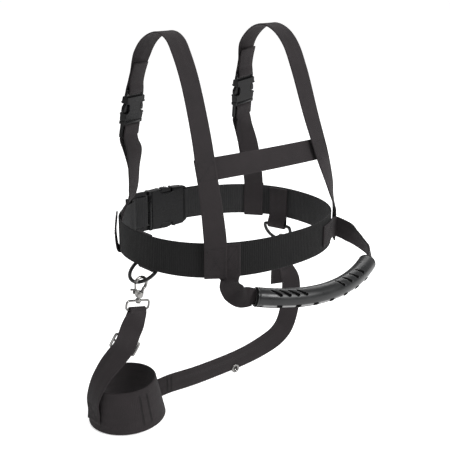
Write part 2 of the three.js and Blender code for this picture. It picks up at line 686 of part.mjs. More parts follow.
// An oval wire eye hung on the post by its collar
function hookEye() {
  const bend = 3.2;
  const corners = [[1, 1], [1, -1], [-1, -1], [-1, 1]];
  const across = EYE_HALF - bend;
  const tall = (EYE_TOP - EYE_LOW) / 2 - bend;
  const points = corners.flatMap(([u, v], corner) => [0, 1, 2, 3, 4].map((i) => {
    const turn = Math.PI / 2 - (Math.PI * (i / 4 + corner)) / 2;
    const middle = vec(u * across, 0, (EYE_TOP + EYE_LOW) / 2 + v * tall);
    return middle.add(vec(bend * Math.cos(turn), 0, bend * Math.sin(turn)));
  }));
  const oval = toSolid(outwards(wire(points, EYE_WIRE, vec(0, 1, 0), true)));
  const collar = toSolid(rod(3.4, 3.6, 16).rotateX(Math.PI / 2).translate(0, 0, EYE_TOP + 0.3));
  const bore = toSolid(rod(1.85, 12, 16).rotateX(Math.PI / 2).translate(0, 0, EYE_TOP));
  return fromSolid(oval.add(collar).subtract(bore));
}

// The jaw's crown rests on the D-ring's arc
function hook(name, tab, shift, parent) {
  const { bar, along, fall, out } = ringFrame(tab);
  const depth = D_DEPTH - D_HALF + Math.sqrt(D_HALF ** 2 - shift ** 2);
  const low = bar.clone().addScaledVector(fall, depth - 0.4).addScaledVector(along, shift);
  const axis = UP.clone().addScaledVector(out, -Math.tan(rad(HOOK_TILT))).normalize();
  const x = out.clone().addScaledVector(axis, -out.dot(axis)).normalize();
  const group = new THREE.Group();
  group.matrixAutoUpdate = false;
  const clear = JAW_RADIUS - HOOK_WIRE - D_WIRE - 0.9;
  const origin = low.clone().addScaledVector(axis, -(JAW_Z + clear)).addScaledVector(x, 0.5);
  group.matrix.makeBasis(x, axis.clone().cross(x), axis).setPosition(origin);
  parent.add(group);
  node(`${name}_hook_body`, hookBody(), NICKEL, group);
  node(`${name}_hook_gate`, hookGate(), NICKEL, group);
  node(`${name}_gate_pin`, outwards(gatePin()), NICKEL, group);
  node(`${name}_hook_eye`, hookEye(), NICKEL, group);
  return group.matrix;
}

// ------------------------------------------------------------------ leash

// Webbing folded round the eye's lower bar, then down its own route
function leash(name, matrix, backLength, route, parent) {
  const eyeAcross = ALONG_X.clone().transformDirection(matrix);
  const behind = Math.sign(vec(0, 1, 0).transformDirection(matrix).y);
  const reach = behind * (EYE_WIRE + PLY_GAP + STRAP_THICK / 2);
  const narrow = STRAP_WIDTH - 3;
  const place = (y, z, width = STRAP_WIDTH) => (
    { at: vec(0, y, z).applyMatrix4(matrix), across: eyeAcross, width }
  );
  const back = [
    place(2.6 * behind, EYE_LOW - backLength), place(2.6 * behind, EYE_LOW - 8),
    place(reach, EYE_LOW - 3, narrow), place(reach, EYE_LOW, narrow),
  ];
  const over = [45, 90, 135].map((degrees) => place(
    reach * Math.cos(rad(degrees)), EYE_LOW + Math.abs(reach) * Math.sin(rad(degrees)), narrow,
  ));
  const hand = Math.sign(eyeAcross.dot(route[0][1]));
  const free = route.map(([at, across]) => (
    { at, across: across.clone().multiplyScalar(hand), width: STRAP_WIDTH }
  ));
  const run = smooth([place(-reach, EYE_LOW, narrow), place(-reach, EYE_LOW - 5), ...free], 3 * route.length);
  node(`${name}_leash_strap`, strap([...back, ...over, ...run], STRAP_WIDTH, STRAP_THICK), WEBBING, parent);
}

// The loop leans a little, and both ends of the leash are sewn on its outside
const LOOP_OUT = vec(Math.cos(rad(LOOP_LEAN)), 0, Math.sin(rad(LOOP_LEAN)));
const LOOP_UP = vec(-Math.sin(rad(LOOP_LEAN)), 0, Math.cos(rad(LOOP_LEAN)));

function onLoop(side, height) {
  const taper = height * Math.tan(rad(LOOP_TAPER));
  const reach = LOOP_RADIUS - taper + (LOOP_THICK + STRAP_THICK) / 2 + PLY_GAP + 0.4;
  return LOOP_CENTRE.clone().addScaledVector(LOOP_OUT, side * reach).addScaledVector(LOOP_UP, height);
}

// Down through the slider to the outside of the wrist loop
const LEFT_ROUTE = [
  [vec(-157.5, -27, -84), vec(0.9, -0.42, 0)],
  [SLIDER_AT, SLIDER_ACROSS],
  [vec(-171, -17, -116), vec(0.72, -0.68, 0)],
  [vec(-180.5, -12, -129), vec(0.5, -0.86, 0)],
  [vec(-190, -7, -146), vec(0.2, -0.98, 0)],
  [onLoop(-1, 12).addScaledVector(LOOP_OUT, -2), vec(0, -1, 0)],
  [onLoop(-1, -4), vec(0, -1, 0)],
  [onLoop(-1, -14), vec(0, -1, 0)],
];

// Under the belt and round to the wrist loop, turning edge up on the way
const RIGHT_ROUTE = [
  [vec(136, 30, -108), vec(0.9, -0.42, 0)],
  [vec(126, 18, -127), vec(0.84, -0.54, 0)],
  [vec(112, 7, -145), vec(0.74, -0.6, -0.3)],
  [vec(99, 2, -160), vec(0.6, -0.6, -0.5)],
  [vec(84, 0, -169), vec(0.42, -0.5, -0.75)],
  [vec(62, 0, -176), vec(0.2, -0.34, -0.92)],
  [vec(31, 0, -181.5), vec(0.1, -0.12, -0.99)],
  [vec(-8, 0, -184), vec(0, 0, -1)],
  [vec(-50, 0, -185), vec(0, 0, -1)],
  [onLoop(1, -8).addScaledVector(LOOP_OUT, 16), LOOP_UP.clone().negate()],
  [onLoop(1, -8).addScaledVector(LOOP_OUT, 1.2), LOOP_UP.clone().negate()],
];

function wristLoop(parent) {
  const stations = Array.from({ length: 40 }, (_, i) => {
    const turn = (2 * Math.PI * i) / 40;
    const out = LOOP_OUT.clone().multiplyScalar(Math.cos(turn)).add(vec(0, Math.sin(turn), 0));
    const at = LOOP_CENTRE.clone().addScaledVector(out, LOOP_RADIUS);
    return { at, across: LOOP_UP.clone().addScaledVector(out, -Math.tan(rad(LOOP_TAPER))).normalize() };
  });
  node('wrist_loop', strap(stations, LOOP_WIDTH, LOOP_THICK, true), WEBBING, parent);
}

// A wire frame behind the strap, with its middle bar
function slider(parent) {
  const along = LEFT_ROUTE[2][0].clone().sub(LEFT_ROUTE[0][0]).normalize();
  const across = SLIDER_ACROSS.clone().addScaledVector(along, -SLIDER_ACROSS.dot(along)).normalize();
  const behind = across.clone().cross(along).normalize();
  behind.multiplyScalar(Math.sign(behind.y));
  const wireRadius = 1.5;
  const clear = 1.9;
  const centre = SLIDER_AT.clone().addScaledVector(behind, STRAP_THICK / 2 + clear + wireRadius);
  const [halfWide, halfLong, bend] = [STRAP_WIDTH / 2 + 1.8, 8.5, 1.6];
  const at = (u, v) => centre.clone().addScaledVector(across, u).addScaledVector(along, v);
  const corners = [[1, 1], [-1, 1], [-1, -1], [1, -1]];
  const points = corners.flatMap(([u, v]) => {
    const beside = at(u * halfWide, v * (halfLong - bend));
    const beyond = at(u * (halfWide - bend), v * halfLong);
    return u * v > 0 ? [beside, beyond] : [beyond, beside];
  });
  const frame = toSolid(outwards(wire(points, wireRadius, behind, true)));
  const middle = toSolid(outwards(wire([at(-halfWide, 0), at(halfWide, 0)], wireRadius, behind)));
  node('left_leash_slider', fromSolid(frame.add(middle)), NICKEL, parent);
}

// A press stud over the leash's lower edge, its cap towards the wearer's back
function stud(parent) {
  const lathe = (profile) => {
    const outline = profile.map(([r, y]) => new THREE.Vector2(r, y));
    return outwards(new THREE.LatheGeometry(outline, 20));
  };
  const off = STRAP_THICK / 2 + 3 * PLY_GAP;
  const cap = [
    [2.6, off], [5.6, off], [5.9, off + 0.7], [5, off + 1.6], [3.4, off + 1.6], [2.6, off + 0.8], [2.6, off],
  ];
  const socket = [[1.6, off], [5.2, off], [5.2, off + 0.9], [3.4, off + 1.9], [1.6, off + 1.9], [1.6, off]];
  node('leash_stud_socket', lathe(socket), NICKEL, parent).position.copy(STUD_AT);
  const front = node('leash_stud_cap', lathe(cap), NICKEL, parent);
  front.position.copy(STUD_AT);
  front.rotation.x = Math.PI;
}

// --------------------------------------------------------------- assembly

const harness = new THREE.Group();
waist(harness);
shoulderSide('left', false, harness);
shoulderSide('right', true, harness);
crossStrap(harness);
handleTabs(harness);
handle(harness);
Object.entries(TABS).forEach(([name, tab]) => {
  ringTab(name, tab.angle, tab.barZ, harness);
  dRing(name, tab, harness);
});
const leftHook = hook('left', TABS.left, 11, harness);
const rightHook = hook('right', TABS.right, 0, harness);
leash('left', leftHook, 16, LEFT_ROUTE, harness);
leash('right', rightHook, 30, RIGHT_ROUTE, harness);
wristLoop(harness);
slider(harness);
stud(harness);

export default harness;
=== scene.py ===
import math

import bpy
import numpy as np
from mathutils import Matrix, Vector


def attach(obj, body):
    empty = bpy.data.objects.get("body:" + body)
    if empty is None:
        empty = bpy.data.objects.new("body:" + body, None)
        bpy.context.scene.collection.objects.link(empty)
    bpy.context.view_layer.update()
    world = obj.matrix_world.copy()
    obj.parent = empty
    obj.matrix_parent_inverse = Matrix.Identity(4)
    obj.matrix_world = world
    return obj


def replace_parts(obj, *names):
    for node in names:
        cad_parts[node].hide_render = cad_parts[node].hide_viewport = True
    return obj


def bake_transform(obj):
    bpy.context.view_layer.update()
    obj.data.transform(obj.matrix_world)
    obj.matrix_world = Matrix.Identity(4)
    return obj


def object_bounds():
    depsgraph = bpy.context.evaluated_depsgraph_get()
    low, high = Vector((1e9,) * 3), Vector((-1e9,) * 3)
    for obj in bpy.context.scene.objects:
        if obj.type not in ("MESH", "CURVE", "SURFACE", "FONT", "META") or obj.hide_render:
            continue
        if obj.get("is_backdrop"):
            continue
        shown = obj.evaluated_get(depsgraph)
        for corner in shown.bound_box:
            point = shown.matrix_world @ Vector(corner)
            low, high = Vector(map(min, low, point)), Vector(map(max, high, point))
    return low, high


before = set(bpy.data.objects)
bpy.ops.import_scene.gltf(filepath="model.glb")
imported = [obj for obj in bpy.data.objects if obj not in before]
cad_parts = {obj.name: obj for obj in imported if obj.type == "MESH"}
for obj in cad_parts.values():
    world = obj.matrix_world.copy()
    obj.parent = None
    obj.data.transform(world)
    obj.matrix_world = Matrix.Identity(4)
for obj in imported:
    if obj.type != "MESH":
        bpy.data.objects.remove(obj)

CAD_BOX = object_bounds()
MM = 0.001

# ---- camera

RIGHT = Vector((0.783, -0.622, 0.0))
BACK = Vector((-0.593, -0.746, 0.302))
AIM = RIGHT * -0.0013 + Vector((0, 0, 0.0015))


def add_camera():
    data = bpy.data.cameras.new("camera")
    data.sensor_width = 36
    data.lens = 73.8
    data.clip_end = 30
    camera = bpy.data.objects.new("camera", data)
    camera.location = AIM + BACK.normalized() * 1.120
    camera.rotation_euler = (-BACK).to_track_quat("-Z", "Y").to_euler()
    bpy.context.scene.collection.objects.link(camera)
    bpy.context.scene.camera = camera


add_camera()

# ---- dimensions
# Millimetres, as in the CAD model

BELT_WIDTH, STRAP_WIDTH, BELT_THICK, STRAP_THICK, GAP = 40, 25, 2.2, 1.8, 0.3
BELT_HALF_X, BELT_HALF_Y, BELT_POWER = 128.5, 111, 2.3
OUTER_1 = BELT_THICK / 2 + GAP + STRAP_THICK / 2
OUTER_2 = OUTER_1 + STRAP_THICK + GAP + 0.9
INNER_1 = -OUTER_1 - 1.1
SEWN = BELT_WIDTH / 2 - 1
BAR_HALF = 1.7
WEAVE_PITCH = 2.1
BELT_START, BELT_SWEEP = 66, 302
UP = np.array([0.0, 0.0, 1.0])


def vec(*p):
    return np.array(p, float)


def unit(v):
    v = np.asarray(v, float)
    return v / np.linalg.norm(v, axis=-1, keepdims=True)


def ring_place(degrees, offset=0.0, z=0.0):
    """A place on the belt's ring, with its outward and sideways directions."""
    turn = math.radians(degrees)
    c, s = math.cos(turn), math.sin(turn)
    reach = (abs(c / BELT_HALF_X) ** BELT_POWER + abs(s / BELT_HALF_Y) ** BELT_POWER) ** (-1 / BELT_POWER)
    x, y = reach * c, reach * s
    slope = lambda value, half: math.copysign(abs(value / half) ** (BELT_POWER - 1), value) / half
    out = unit(vec(slope(x, BELT_HALF_X), slope(y, BELT_HALF_Y), 0))
    return vec(x, y, z) + out * offset, out, np.cross(UP, out)


def spline(points, steps, closed=False):
    """Centripetal Catmull-Rom through the points, steps[i] pieces in span i."""
    points = np.asarray(points, float)
    count = len(points)
    spans = count if closed else count - 1
    if isinstance(steps, int):
        steps = [steps] * spans
    get = lambda i: points[i % count] if closed else (
        2 * points[0] - points[1] if i < 0 else 2 * points[-1] - points[-2] if i >= count else points[i])
    out = []
    for i in range(spans):
        p0, p1, p2, p3 = get(i - 1), get(i), get(i + 1), get(i + 2)
        d0, d1, d2 = (max(np.linalg.norm(b - a), 1e-6) ** 0.5 for a, b in ((p0, p1), (p1, p2), (p2, p3)))
        t1 = ((p1 - p0) / d0 - (p2 - p0) / (d0 + d1) + (p2 - p1) / d1) * d1
        t2 = ((p2 - p1) / d1 - (p3 - p1) / (d1 + d2) + (p3 - p2) / d2) * d1
        square, cube = -3 * p1 + 3 * p2 - 2 * t1 - t2, 2 * p1 - 2 * p2 + t1 + t2
        for k in range(steps[i]):
            t = k / steps[i]
            out.append(p1 + t1 * t + square * t * t + cube * t ** 3)
    if not closed:
        out.append(points[-1])
    return np.array(out)


# ---- materials

class Shader:
    """A small helper that builds a Principled material from nodes."""

    def __init__(self, name, **values):
        self.material = bpy.data.materials.new(name)
        self.material.use_nodes = True
        self.tree = self.material.node_tree
        self.bsdf = self.tree.nodes["Principled BSDF"]
        for key, value in values.items():
            self.bsdf.inputs[key.replace("_", " ")].default_value = value

    def node(self, kind, links=None, **settings):
        n = self.tree.nodes.new(kind)
        for key, value in settings.items():
            if hasattr(n, key):
                setattr(n, key, value)
            else:
                n.inputs[key.replace("_", " ")].default_value = value
        for key, source in (links or {}).items():
            self.tree.links.new(source, n.inputs[key])
        return n

    def math(self, operation, a, b=0.0, c=None):
        n = self.tree.nodes.new("ShaderNodeMath")
        n.operation = operation
        for i, value in enumerate((a, b) if c is None else (a, b, c)):
            if isinstance(value, (int, float)):
                n.inputs[i].default_value = value
            else:
                self.tree.links.new(value, n.inputs[i])
        return n.outputs[0]

    def noise(self, scale, detail=3.0, roughness=0.55, vector=None):
        if vector is None:
            vector = self.node("ShaderNodeTexCoord").outputs["Object"]
        settings = {"Scale": scale, "Detail": detail, "Roughness": roughness}
        return self.node("ShaderNodeTexNoise", {"Vector": vector}, **settings).outputs["Fac"]

    def ramp(self, source, low, high, start=0.0, end=1.0):
        n = self.tree.nodes.new("ShaderNodeMapRange")
        self.tree.links.new(source, n.inputs["Value"])
        for key, value in (("From Min", start), ("From Max", end), ("To Min", low), ("To Max", high)):
            n.inputs[key].default_value = value
        return n.outputs[0]

    def mix(self, factor, a, b):
        n = self.node("ShaderNodeMix", {"Factor": factor}, data_type="RGBA")
        for i, colour in ((6, a), (7, b)):
            if isinstance(colour, tuple):
                n.inputs[i].default_value = (*colour, 1)
            else:
                self.tree.links.new(colour, n.inputs[i])
        return n.outputs[2]

    def bump(self, height, strength, distance, below=None):
        links = {"Height": height}
        if below is not None:
            links["Normal"] = below
        return self.node("ShaderNodeBump", links, Strength=strength, Distance=distance).outputs[0]

    def finish(self, **links):
        for key, source in links.items():
            self.tree.links.new(source, self.bsdf.inputs[key.replace("_", " ")])
        return self.material


def webbing_material(name, base, light, rib, twill, sheen):
    """Woven tape: weft ribs across, warp cords along, a herringbone turn and fine fuzz."""
    s = Shader(name, Sheen_Weight=sheen, Sheen_Roughness=0.45, Specular_IOR_Level=0.2)
    uv = s.node("ShaderNodeUVMap", uv_map="UVMap").outputs[0]
    split = s.node("ShaderNodeSeparateXYZ", {"Vector": uv})
    along, across = split.outputs[0], split.outputs[1]
    jitter = s.math("MULTIPLY", s.math("SUBTRACT", s.noise(260, 2), 0.5), 0.0007)
    along = s.math("ADD", along, jitter)
    zigzag = s.math("PINGPONG", across, 0.0052)
    slant = s.math("ADD", along, s.math("MULTIPLY", zigzag, twill))
    weft = s.math("SINE", s.math("MULTIPLY", slant, math.tau / rib))
    warp = s.math("SINE", s.math("MULTIPLY", across, math.tau / 0.0011))
    weave = s.math("MULTIPLY_ADD", s.math("MULTIPLY", weft, warp), 0.5, s.math("MULTIPLY", weft, 0.5))
    fuzz = s.noise(2600, 4, 0.7)
    worn = s.noise(38, 4, 0.6)
    tone = s.math("ADD", s.ramp(weave, 0.0, 0.55, -1, 1), s.math("MULTIPLY", fuzz, 0.35))
    tone = s.math("MULTIPLY", tone, s.ramp(worn, 0.65, 1.15, 0.25, 0.75))
    colour = s.mix(tone, base, light)
    first = s.bump(weave, 0.75, 0.00035)
    second = s.bump(fuzz, 0.35, 0.0002, first)
    return s.finish(Base_Color=colour, Normal=second, Roughness=s.ramp(worn, 0.8, 0.95))


def plastic_material(name, base, light, rough, grain, depth=0.00008, specular=0.3):
    """Fine-grained moulding with rubbed patches."""
    s = Shader(name, Specular_IOR_Level=specular)
    fine = s.noise(grain, 3, 0.6)
    broad = s.noise(55, 4, 0.6)
    rub = s.noise(340, 2, 0.5)
    colour = s.mix(s.ramp(broad, 0.0, 1.0, 0.3, 0.75), base, light)
    normal = s.bump(fine, 0.2, depth)
    patches = s.ramp(broad, rough - 0.07, rough + 0.1, 0.3, 0.7)
    roughness = s.math("ADD", patches, s.ramp(rub, -0.03, 0.04))
    return s.finish(Base_Color=colour, Normal=normal, Roughness=roughness)


def metal_material(name, base, light, rough, metallic):
    """Plated or painted metal, smeared by handling and finely scratched."""
    s = Shader(name, Metallic=metallic, Specular_IOR_Level=0.3)
    smear = s.noise(90, 5, 0.65)
    scratch = s.noise(900, 2, 0.5)
    colour = s.mix(s.ramp(smear, 0.0, 1.0, 0.3, 0.75), base, light)
    smears = s.ramp(smear, rough * 0.75, rough * 1.4, 0.3, 0.7)
    roughness = s.math("ADD", smears, s.ramp(scratch, -0.02, 0.05))
    return s.finish(Base_Color=colour, Roughness=roughness, Normal=s.bump(scratch, 0.15, 0.00004))


def thread_material():
    s = Shader("thread", Roughness=0.85)
    twist = s.node("ShaderNodeTexWave", Scale=900, Distortion=1.5, bands_direction="DIAGONAL").outputs["Fac"]
    colour = s.mix(s.ramp(twist, 0, 1), (0.004, 0.004, 0.004), (0.013, 0.0125, 0.0125))
    return s.finish(Base_Color=colour, Normal=s.bump(twist, 0.6, 0.0001))


BELT = webbing_material("belt_webbing", (0.0085, 0.0085, 0.0088), (0.034, 0.034, 0.035), 0.0026, 0.0, 0.04)
# Darker copy of the belt webbing for its inward faces: painted shade.
BELT_INSIDE_PAINTED_SHADE = webbing_material("belt_inside", (0.003, 0.003, 0.0031), (0.0125, 0.0125, 0.0128), 0.0026, 0.0,
                               0.02)
WEBBING = webbing_material("webbing", (0.0100, 0.0086, 0.0092), (0.036, 0.030, 0.032), 0.0015, 0.9, 0.04)
THREAD = thread_material()
PLASTIC = plastic_material("buckle_plastic", (0.003, 0.003, 0.0033), (0.008, 0.008, 0.0086), 0.25, 1900,
                           specular=0.13)
GRIP = plastic_material("grip_plastic", (0.009, 0.0094, 0.0098), (0.015, 0.0155, 0.016), 0.31, 1500, 0.00005)
# Near-black plastic for the grip's grooves, underside band, end lips and seam bridges: painted shade.
GRIP_PAINTED_SHADE = plastic_material("grip_recess", (0.001, 0.001, 0.0011), (0.0022, 0.0022, 0.0023), 0.75, 1500,
                          specular=0.06)
# Pale plastic for the seam strips: painted reflection of the white floor.
GRIP_STRIP_PAINTED_REFLECTION = plastic_material("grip_strip", (0.15, 0.15, 0.15), (0.20, 0.20, 0.20), 0.3, 1500, 0.00005)
BLACK_METAL = metal_material("ring_steel", (0.002, 0.002, 0.0022), (0.006, 0.006, 0.0064), 0.28, 0.0)
NICKEL = metal_material("nickel", (0.10, 0.098, 0.095), (0.30, 0.295, 0.285), 0.16, 1.0)

# Slot names for these materials, which add_mesh looks up but does not keep
SLOTS = {"thread": "webbing", "grip_recess": "grip_plastic", "grip_strip": "grip_plastic"}

# ---- mesh builders


def round_corners(half_u, half_v, bend, steps):
    """A rectangle's outline about its centre, with each corner an arc of so many steps."""
    points = []
    for u, v, start in ((1, 1, 0), (-1, 1, 90), (-1, -1, 180), (1, -1, 270)):
        for k in range(steps + 1):
            turn = math.radians(start + 90 * k / steps)
            points.append((u * (half_u - bend) + bend * math.cos(turn),
                           v * (half_v - bend) + bend * math.sin(turn)))
    return points


def add_mesh(name, points, faces, material, body, uvs=None):
    """An object in the row frame from points in millimetres."""
    mesh = bpy.data.meshes.new(name)
    mesh.from_pydata((np.asarray(points) * MM).tolist(), [], faces)
    if uvs is not None:
        layer = mesh.uv_layers.new(name="UVMap")
        index = np.zeros(len(mesh.loops), int)
        mesh.loops.foreach_get("vertex_index", index)
        layer.data.foreach_set("uv", (np.asarray(uvs)[index] * MM).ravel())
    mesh.polygons.foreach_set("use_smooth", [True] * len(mesh.polygons))
    mesh.materials.append(material)
    mesh.update()
    piece = bpy.data.objects.new(name, mesh)
    bpy.context.scene.collection.objects.link(piece)
    kind = material.name.split(".")[0]
    SLOTS.get(kind, kind)
    if body:
        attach(piece, body)
    return piece


def ring_faces(rings, sides, closed):
    """Quads between rings of points, with the first and last ring capped unless closed."""
    faces = []
    for i in range(rings if closed else rings - 1):
        a, b = i * sides, ((i + 1) % rings) * sides
        for j in range(sides):
            k = (j + 1) % sides
            faces.append((a + j, a + k, b + k, b + j))
    if not closed:
        faces.append(tuple(range(sides - 1, -1, -1)))
        faces.append(tuple(range((rings - 1) * sides, rings * sides)))
    return faces


class Band:
    """A strap's middle line with its width and facing directions, evenly resampled."""

    def __init__(self, stations, step=2.0, closed=False):
        at = np.array([s[0] for s in stations])
        ends = np.roll(at, -1, 0) if closed else at[1:]
        lengths = np.linalg.norm(ends - at[:len(ends)], axis=1)
        steps = [max(1, int(round(l / step))) for l in lengths]
        self.at = spline(at, steps, closed)
        across = spline([s[1] for s in stations], steps, closed)
        where = [i + np.arange(n) / n for i, n in enumerate(steps)]
        where = np.concatenate(where + ([] if closed else [[len(stations) - 1]]))
        widths = [s[2] for s in stations]
        self.width = np.interp(where, range(len(widths) + closed), widths + widths[:1] * closed)
        if closed:
            along = np.roll(self.at, -1, 0) - np.roll(self.at, 1, 0)
        else:
            along = np.gradient(self.at, axis=0)
        self.along = unit(along)
        self.across = unit(across - (across * self.along).sum(1, keepdims=True) * self.along)
        self.normal = np.cross(self.along, self.across)
        gaps = np.linalg.norm(np.diff(self.at, axis=0), axis=1)
        self.s = np.concatenate([[0], np.cumsum(gaps)])
        self.closed = closed

    def part(self, first, last):
        """The same tape between two of its rings."""
        piece = object.__new__(Band)
        for field in ("at", "across", "along", "normal", "width", "s"):
            setattr(piece, field, getattr(self, field)[first:last])
        piece.closed = False
        return piece

    def place(self, s, v, lift):
        """A point at length s and width v, lifted off the middle plane."""
        pick = lambda field: np.array([np.interp(s, self.s, field[:, i]) for i in range(3)])
        return pick(self.at) + pick(self.across) * v + pick(self.normal) * lift

    def mesh(self, name, thick, material, body, columns, relief=None):
        """Closed tape with rounded selvedges. relief(s, v) is extra height on both faces."""
        edge = np.linspace(0, 1, 5)[:-1]
        round_in = 1 - (1 - edge) ** 1.5
        u = np.linspace(-1, 1, columns)
        half = self.width[:, None] / 2
        bevel = thick * 0.55
        flat = u[None, :] * (half - bevel)
        low = -half + bevel * round_in[None, :]
        v = np.concatenate([low, flat, -low[:, ::-1]], axis=1)
        depth = np.clip((np.abs(v) - (half - bevel)) / bevel, 0, 1)
        height = thick / 2 * np.sqrt(1 - depth ** 2 * 0.97)
        height = height + 0.1 * np.exp(-((half - bevel - 0.7 - np.abs(v)) / 0.7) ** 2)
        if relief is not None:
            height = height + relief(self.s[:, None], v) * (1 - depth)
        at, across, normal = self.at[:, None], self.across[:, None], self.normal[:, None]
        upper = at + across * v[..., None] + normal * height[..., None]
        lower = (at + across * v[..., None] - normal * height[..., None])[:, ::-1]
        points = np.concatenate([upper, lower], axis=1)
        uv_v = np.concatenate([v, v[:, ::-1]], axis=1)
        uv = np.stack([np.broadcast_to(self.s[:, None], uv_v.shape), uv_v], axis=-1)
        rings, sides = points.shape[:2]
        faces = ring_faces(rings, sides, self.closed)
        return add_mesh(name, points.reshape(-1, 3), faces, material, body, uv.reshape(-1, 2))


def paint_inside_shade(piece, material):
    """Give the faces that look in at the wearer a darker copy of the belt's material: painted shade inside
    the belt.
    """
    mesh = piece.data
    mesh.materials.append(material)
    normal, centre = np.zeros((2, len(mesh.polygons) * 3))
    mesh.polygons.foreach_get("normal", normal)
    mesh.polygons.foreach_get("center", centre)
    outward = (normal.reshape(-1, 3)[:, :2] * centre.reshape(-1, 3)[:, :2]).sum(1)
    mesh.polygons.foreach_set("material_index", (outward < 0).astype(np.int32))


def cords(pitch, depth):
    """Fine warp cords along a tape."""
    return lambda s, v: depth * np.cos(v * math.tau / pitch) + 0 * s


def ribs(pitch, depth):
    """Weft ribs across a tape, a little uneven."""
    def height(s, v):
        wander = 0.35 * np.sin(v * 0.5 + s * 0.13)
        return depth * (np.abs(np.sin((s + wander) * math.pi / pitch)) ** 0.7 - 0.5)
    return height


def tube(name, points, radius, material, body, closed=False, sides=20, steps=4, normal=None):
    """A round wire along a smooth line."""
    at = spline(points, steps, closed)
    along = unit(np.roll(at, -1, 0) - np.roll(at, 1, 0) if closed else np.gradient(at, axis=0))
    if normal is None:
        normal = unit(np.linalg.svd(at - at.mean(0))[2][2])
    side = unit(np.cross(along, normal))
    over = np.cross(side, along)
    turn = np.arange(sides) * math.tau / sides
    circle = side[:, None] * np.cos(turn)[:, None] + over[:, None] * np.sin(turn)[:, None]
    rings = at[:, None] + radius * circle
    return add_mesh(name, rings.reshape(-1, 3), ring_faces(len(at), sides, closed), material, body)


THREAD_RADIUS = 0.26


def capsule_row(points, lifts):
    """Vertices and faces of short thread stitches, each from a start to an end."""
    vertices, faces = [], []
    for (a, b), out in zip(points, lifts):
        along = unit(b - a)
        side = np.cross(along, out)
        base = len(vertices)
        for t, size, rise in (
            (0, 0.35, -0.25), (0.15, 0.9, 0.1), (0.5, 1, 0.3), (0.85, 0.9, 0.1), (1, 0.35, -0.25),
        ):
            centre = a + (b - a) * t + out * rise
            for j in range(6):
                turn = j * math.tau / 6
                spoke = side * math.cos(turn) + out * math.sin(turn)
                vertices.append(centre + THREAD_RADIUS * size * spoke)
        faces += [tuple(base + i for i in f) for f in ring_faces(5, 6, False)]
    return vertices, faces


def sew(name, band, lines, lift, pitch=3.0):
    """Stitches along lines given in a band's own length and width. lift picks the face."""
    pairs, outs = [], []
    for line in lines:
        for (s0, v0), (s1, v1) in zip(line, line[1:]):
            count = max(1, int(round(math.hypot(s1 - s0, v1 - v0) / pitch)))
            for i in range(count):
                t0, t1 = (i + 0.1) / count, (i + 0.9) / count
                at = lambda t: (s0 + (s1 - s0) * t, v0 + (v1 - v0) * t)
                a, b = band.place(*at(t0), lift), band.place(*at(t1), lift)
                pairs.append((a, b))
                outs.append(unit(band.place(*at(t0), lift * 2) - band.place(*at(t0), 0)))
    vertices, faces = capsule_row(pairs, outs)
    return add_mesh(name, vertices, faces, THREAD, "harness")


def box_stitch(s0, s1, half):
    """A sewn box with its diagonals."""
    box = [(s0, -half), (s1, -half), (s1, half), (s0, half), (s0, -half)]
    return [box, [(s0, -half), (s1, half)], [(s0, half), (s1, -half)]]


def bar_tack(s, half):
    """Three close rows of stitches across a tape."""
    return [[(s + 0.9 * i, -half), (s + 0.9 * i, half)] for i in range(3)]

# ---- buckle seats

SMALL = {"housing": 37, "frame": 20, "outer": 34, "thick": 8.6, "rise": 5}
LARGE = {"housing": 57, "frame": 26, "outer": 53, "thick": 11}
HOUSING_BAR, LADDER_BAR, RIM_RADIUS = 1.75, 1.5, 0.75


class Seat:
    """A buckle's own frame: x along it, z out of its face."""

    def __init__(self, name, size, place, length, face):
        self.name, self.size, self.at = name, size, place
        self.x = unit(length)
        self.z = unit(face - self.x * np.dot(face, self.x))
        self.y = np.cross(self.z, self.x)
        self.hand = -math.copysign(1, place[0])

    def point(self, x, y=0.0, z=0.0):
        return self.at + self.x * x + self.y * y + self.z * z

    def stations(self, profile, width):
        out = []
        for x, z, *twist in profile:
            turn = math.radians(twist[0] if twist else 0) * self.hand
            out.append((self.point(x, 0, z), self.y * math.cos(turn) + self.z * math.sin(turn), width))
        return out


def fold(half_bar, sign, thick):
    """Webbing round a bar at x = 0, leaving towards sign * x, upper ply first."""
    lift = BAR_HALF + GAP + thick / 2
    turn = half_bar + GAP + thick / 2 + 0.2
    upper = [(half_bar * sign, lift), (-turn * 0.55 * sign, lift), (-turn * sign, lift * 0.55)]
    return upper + [(-turn * sign, 0)] + [(x, -z) for x, z in reversed(upper)]


def same_hand(stations):
    """Turns each width direction to the same side as the one before."""
    out, before = [], np.asarray(stations[0][1], float)
    for at, across, width in stations:
        across = np.asarray(across, float)
        if np.dot(across, before) < 0:
            across = -across
        out.append((np.asarray(at, float), across, width))
        before = across
    return out


# A shoulder buckle's mouth and top on the left; the right one is mirrored and sits a little higher
MOUTH, TOP = vec(-84.8, 73.5, 131), vec(-82.2, 66.8, 168)
MIRROR = vec(-1, 1, 1)
WAIST_SEAT = Seat("waist", LARGE, vec(-34, 114, 0), vec(1, 0, 0), vec(0, 1, 0))
BUCKLE_TURN = {"left": math.radians(18), "right": math.radians(8)}
buckle_face = lambda side: vec(-math.sin(BUCKLE_TURN[side]), math.cos(BUCKLE_TURN[side]), 0)
LEFT_SEAT = Seat("left", SMALL, MOUTH, TOP - MOUTH, buckle_face("left"))
RIGHT_LENGTH = unit((TOP - MOUTH) * MIRROR)
RIGHT_MOUTH = MOUTH * MIRROR + RIGHT_LENGTH * SMALL["rise"]
RIGHT_SEAT = Seat("right", SMALL, RIGHT_MOUTH, RIGHT_LENGTH, buckle_face("right"))

# ---- the webbing


def ladder_bar(size):
    """Where a frame's nearer ladder bar stands along the buckle."""
    return -4.6 - 0.2 * size["frame"]


def strap(name, band, body="harness"):
    """A strap's visible tape."""
    return band.mesh(name, STRAP_THICK, WEBBING, body, 30, cords(WEAVE_PITCH, 0.07))


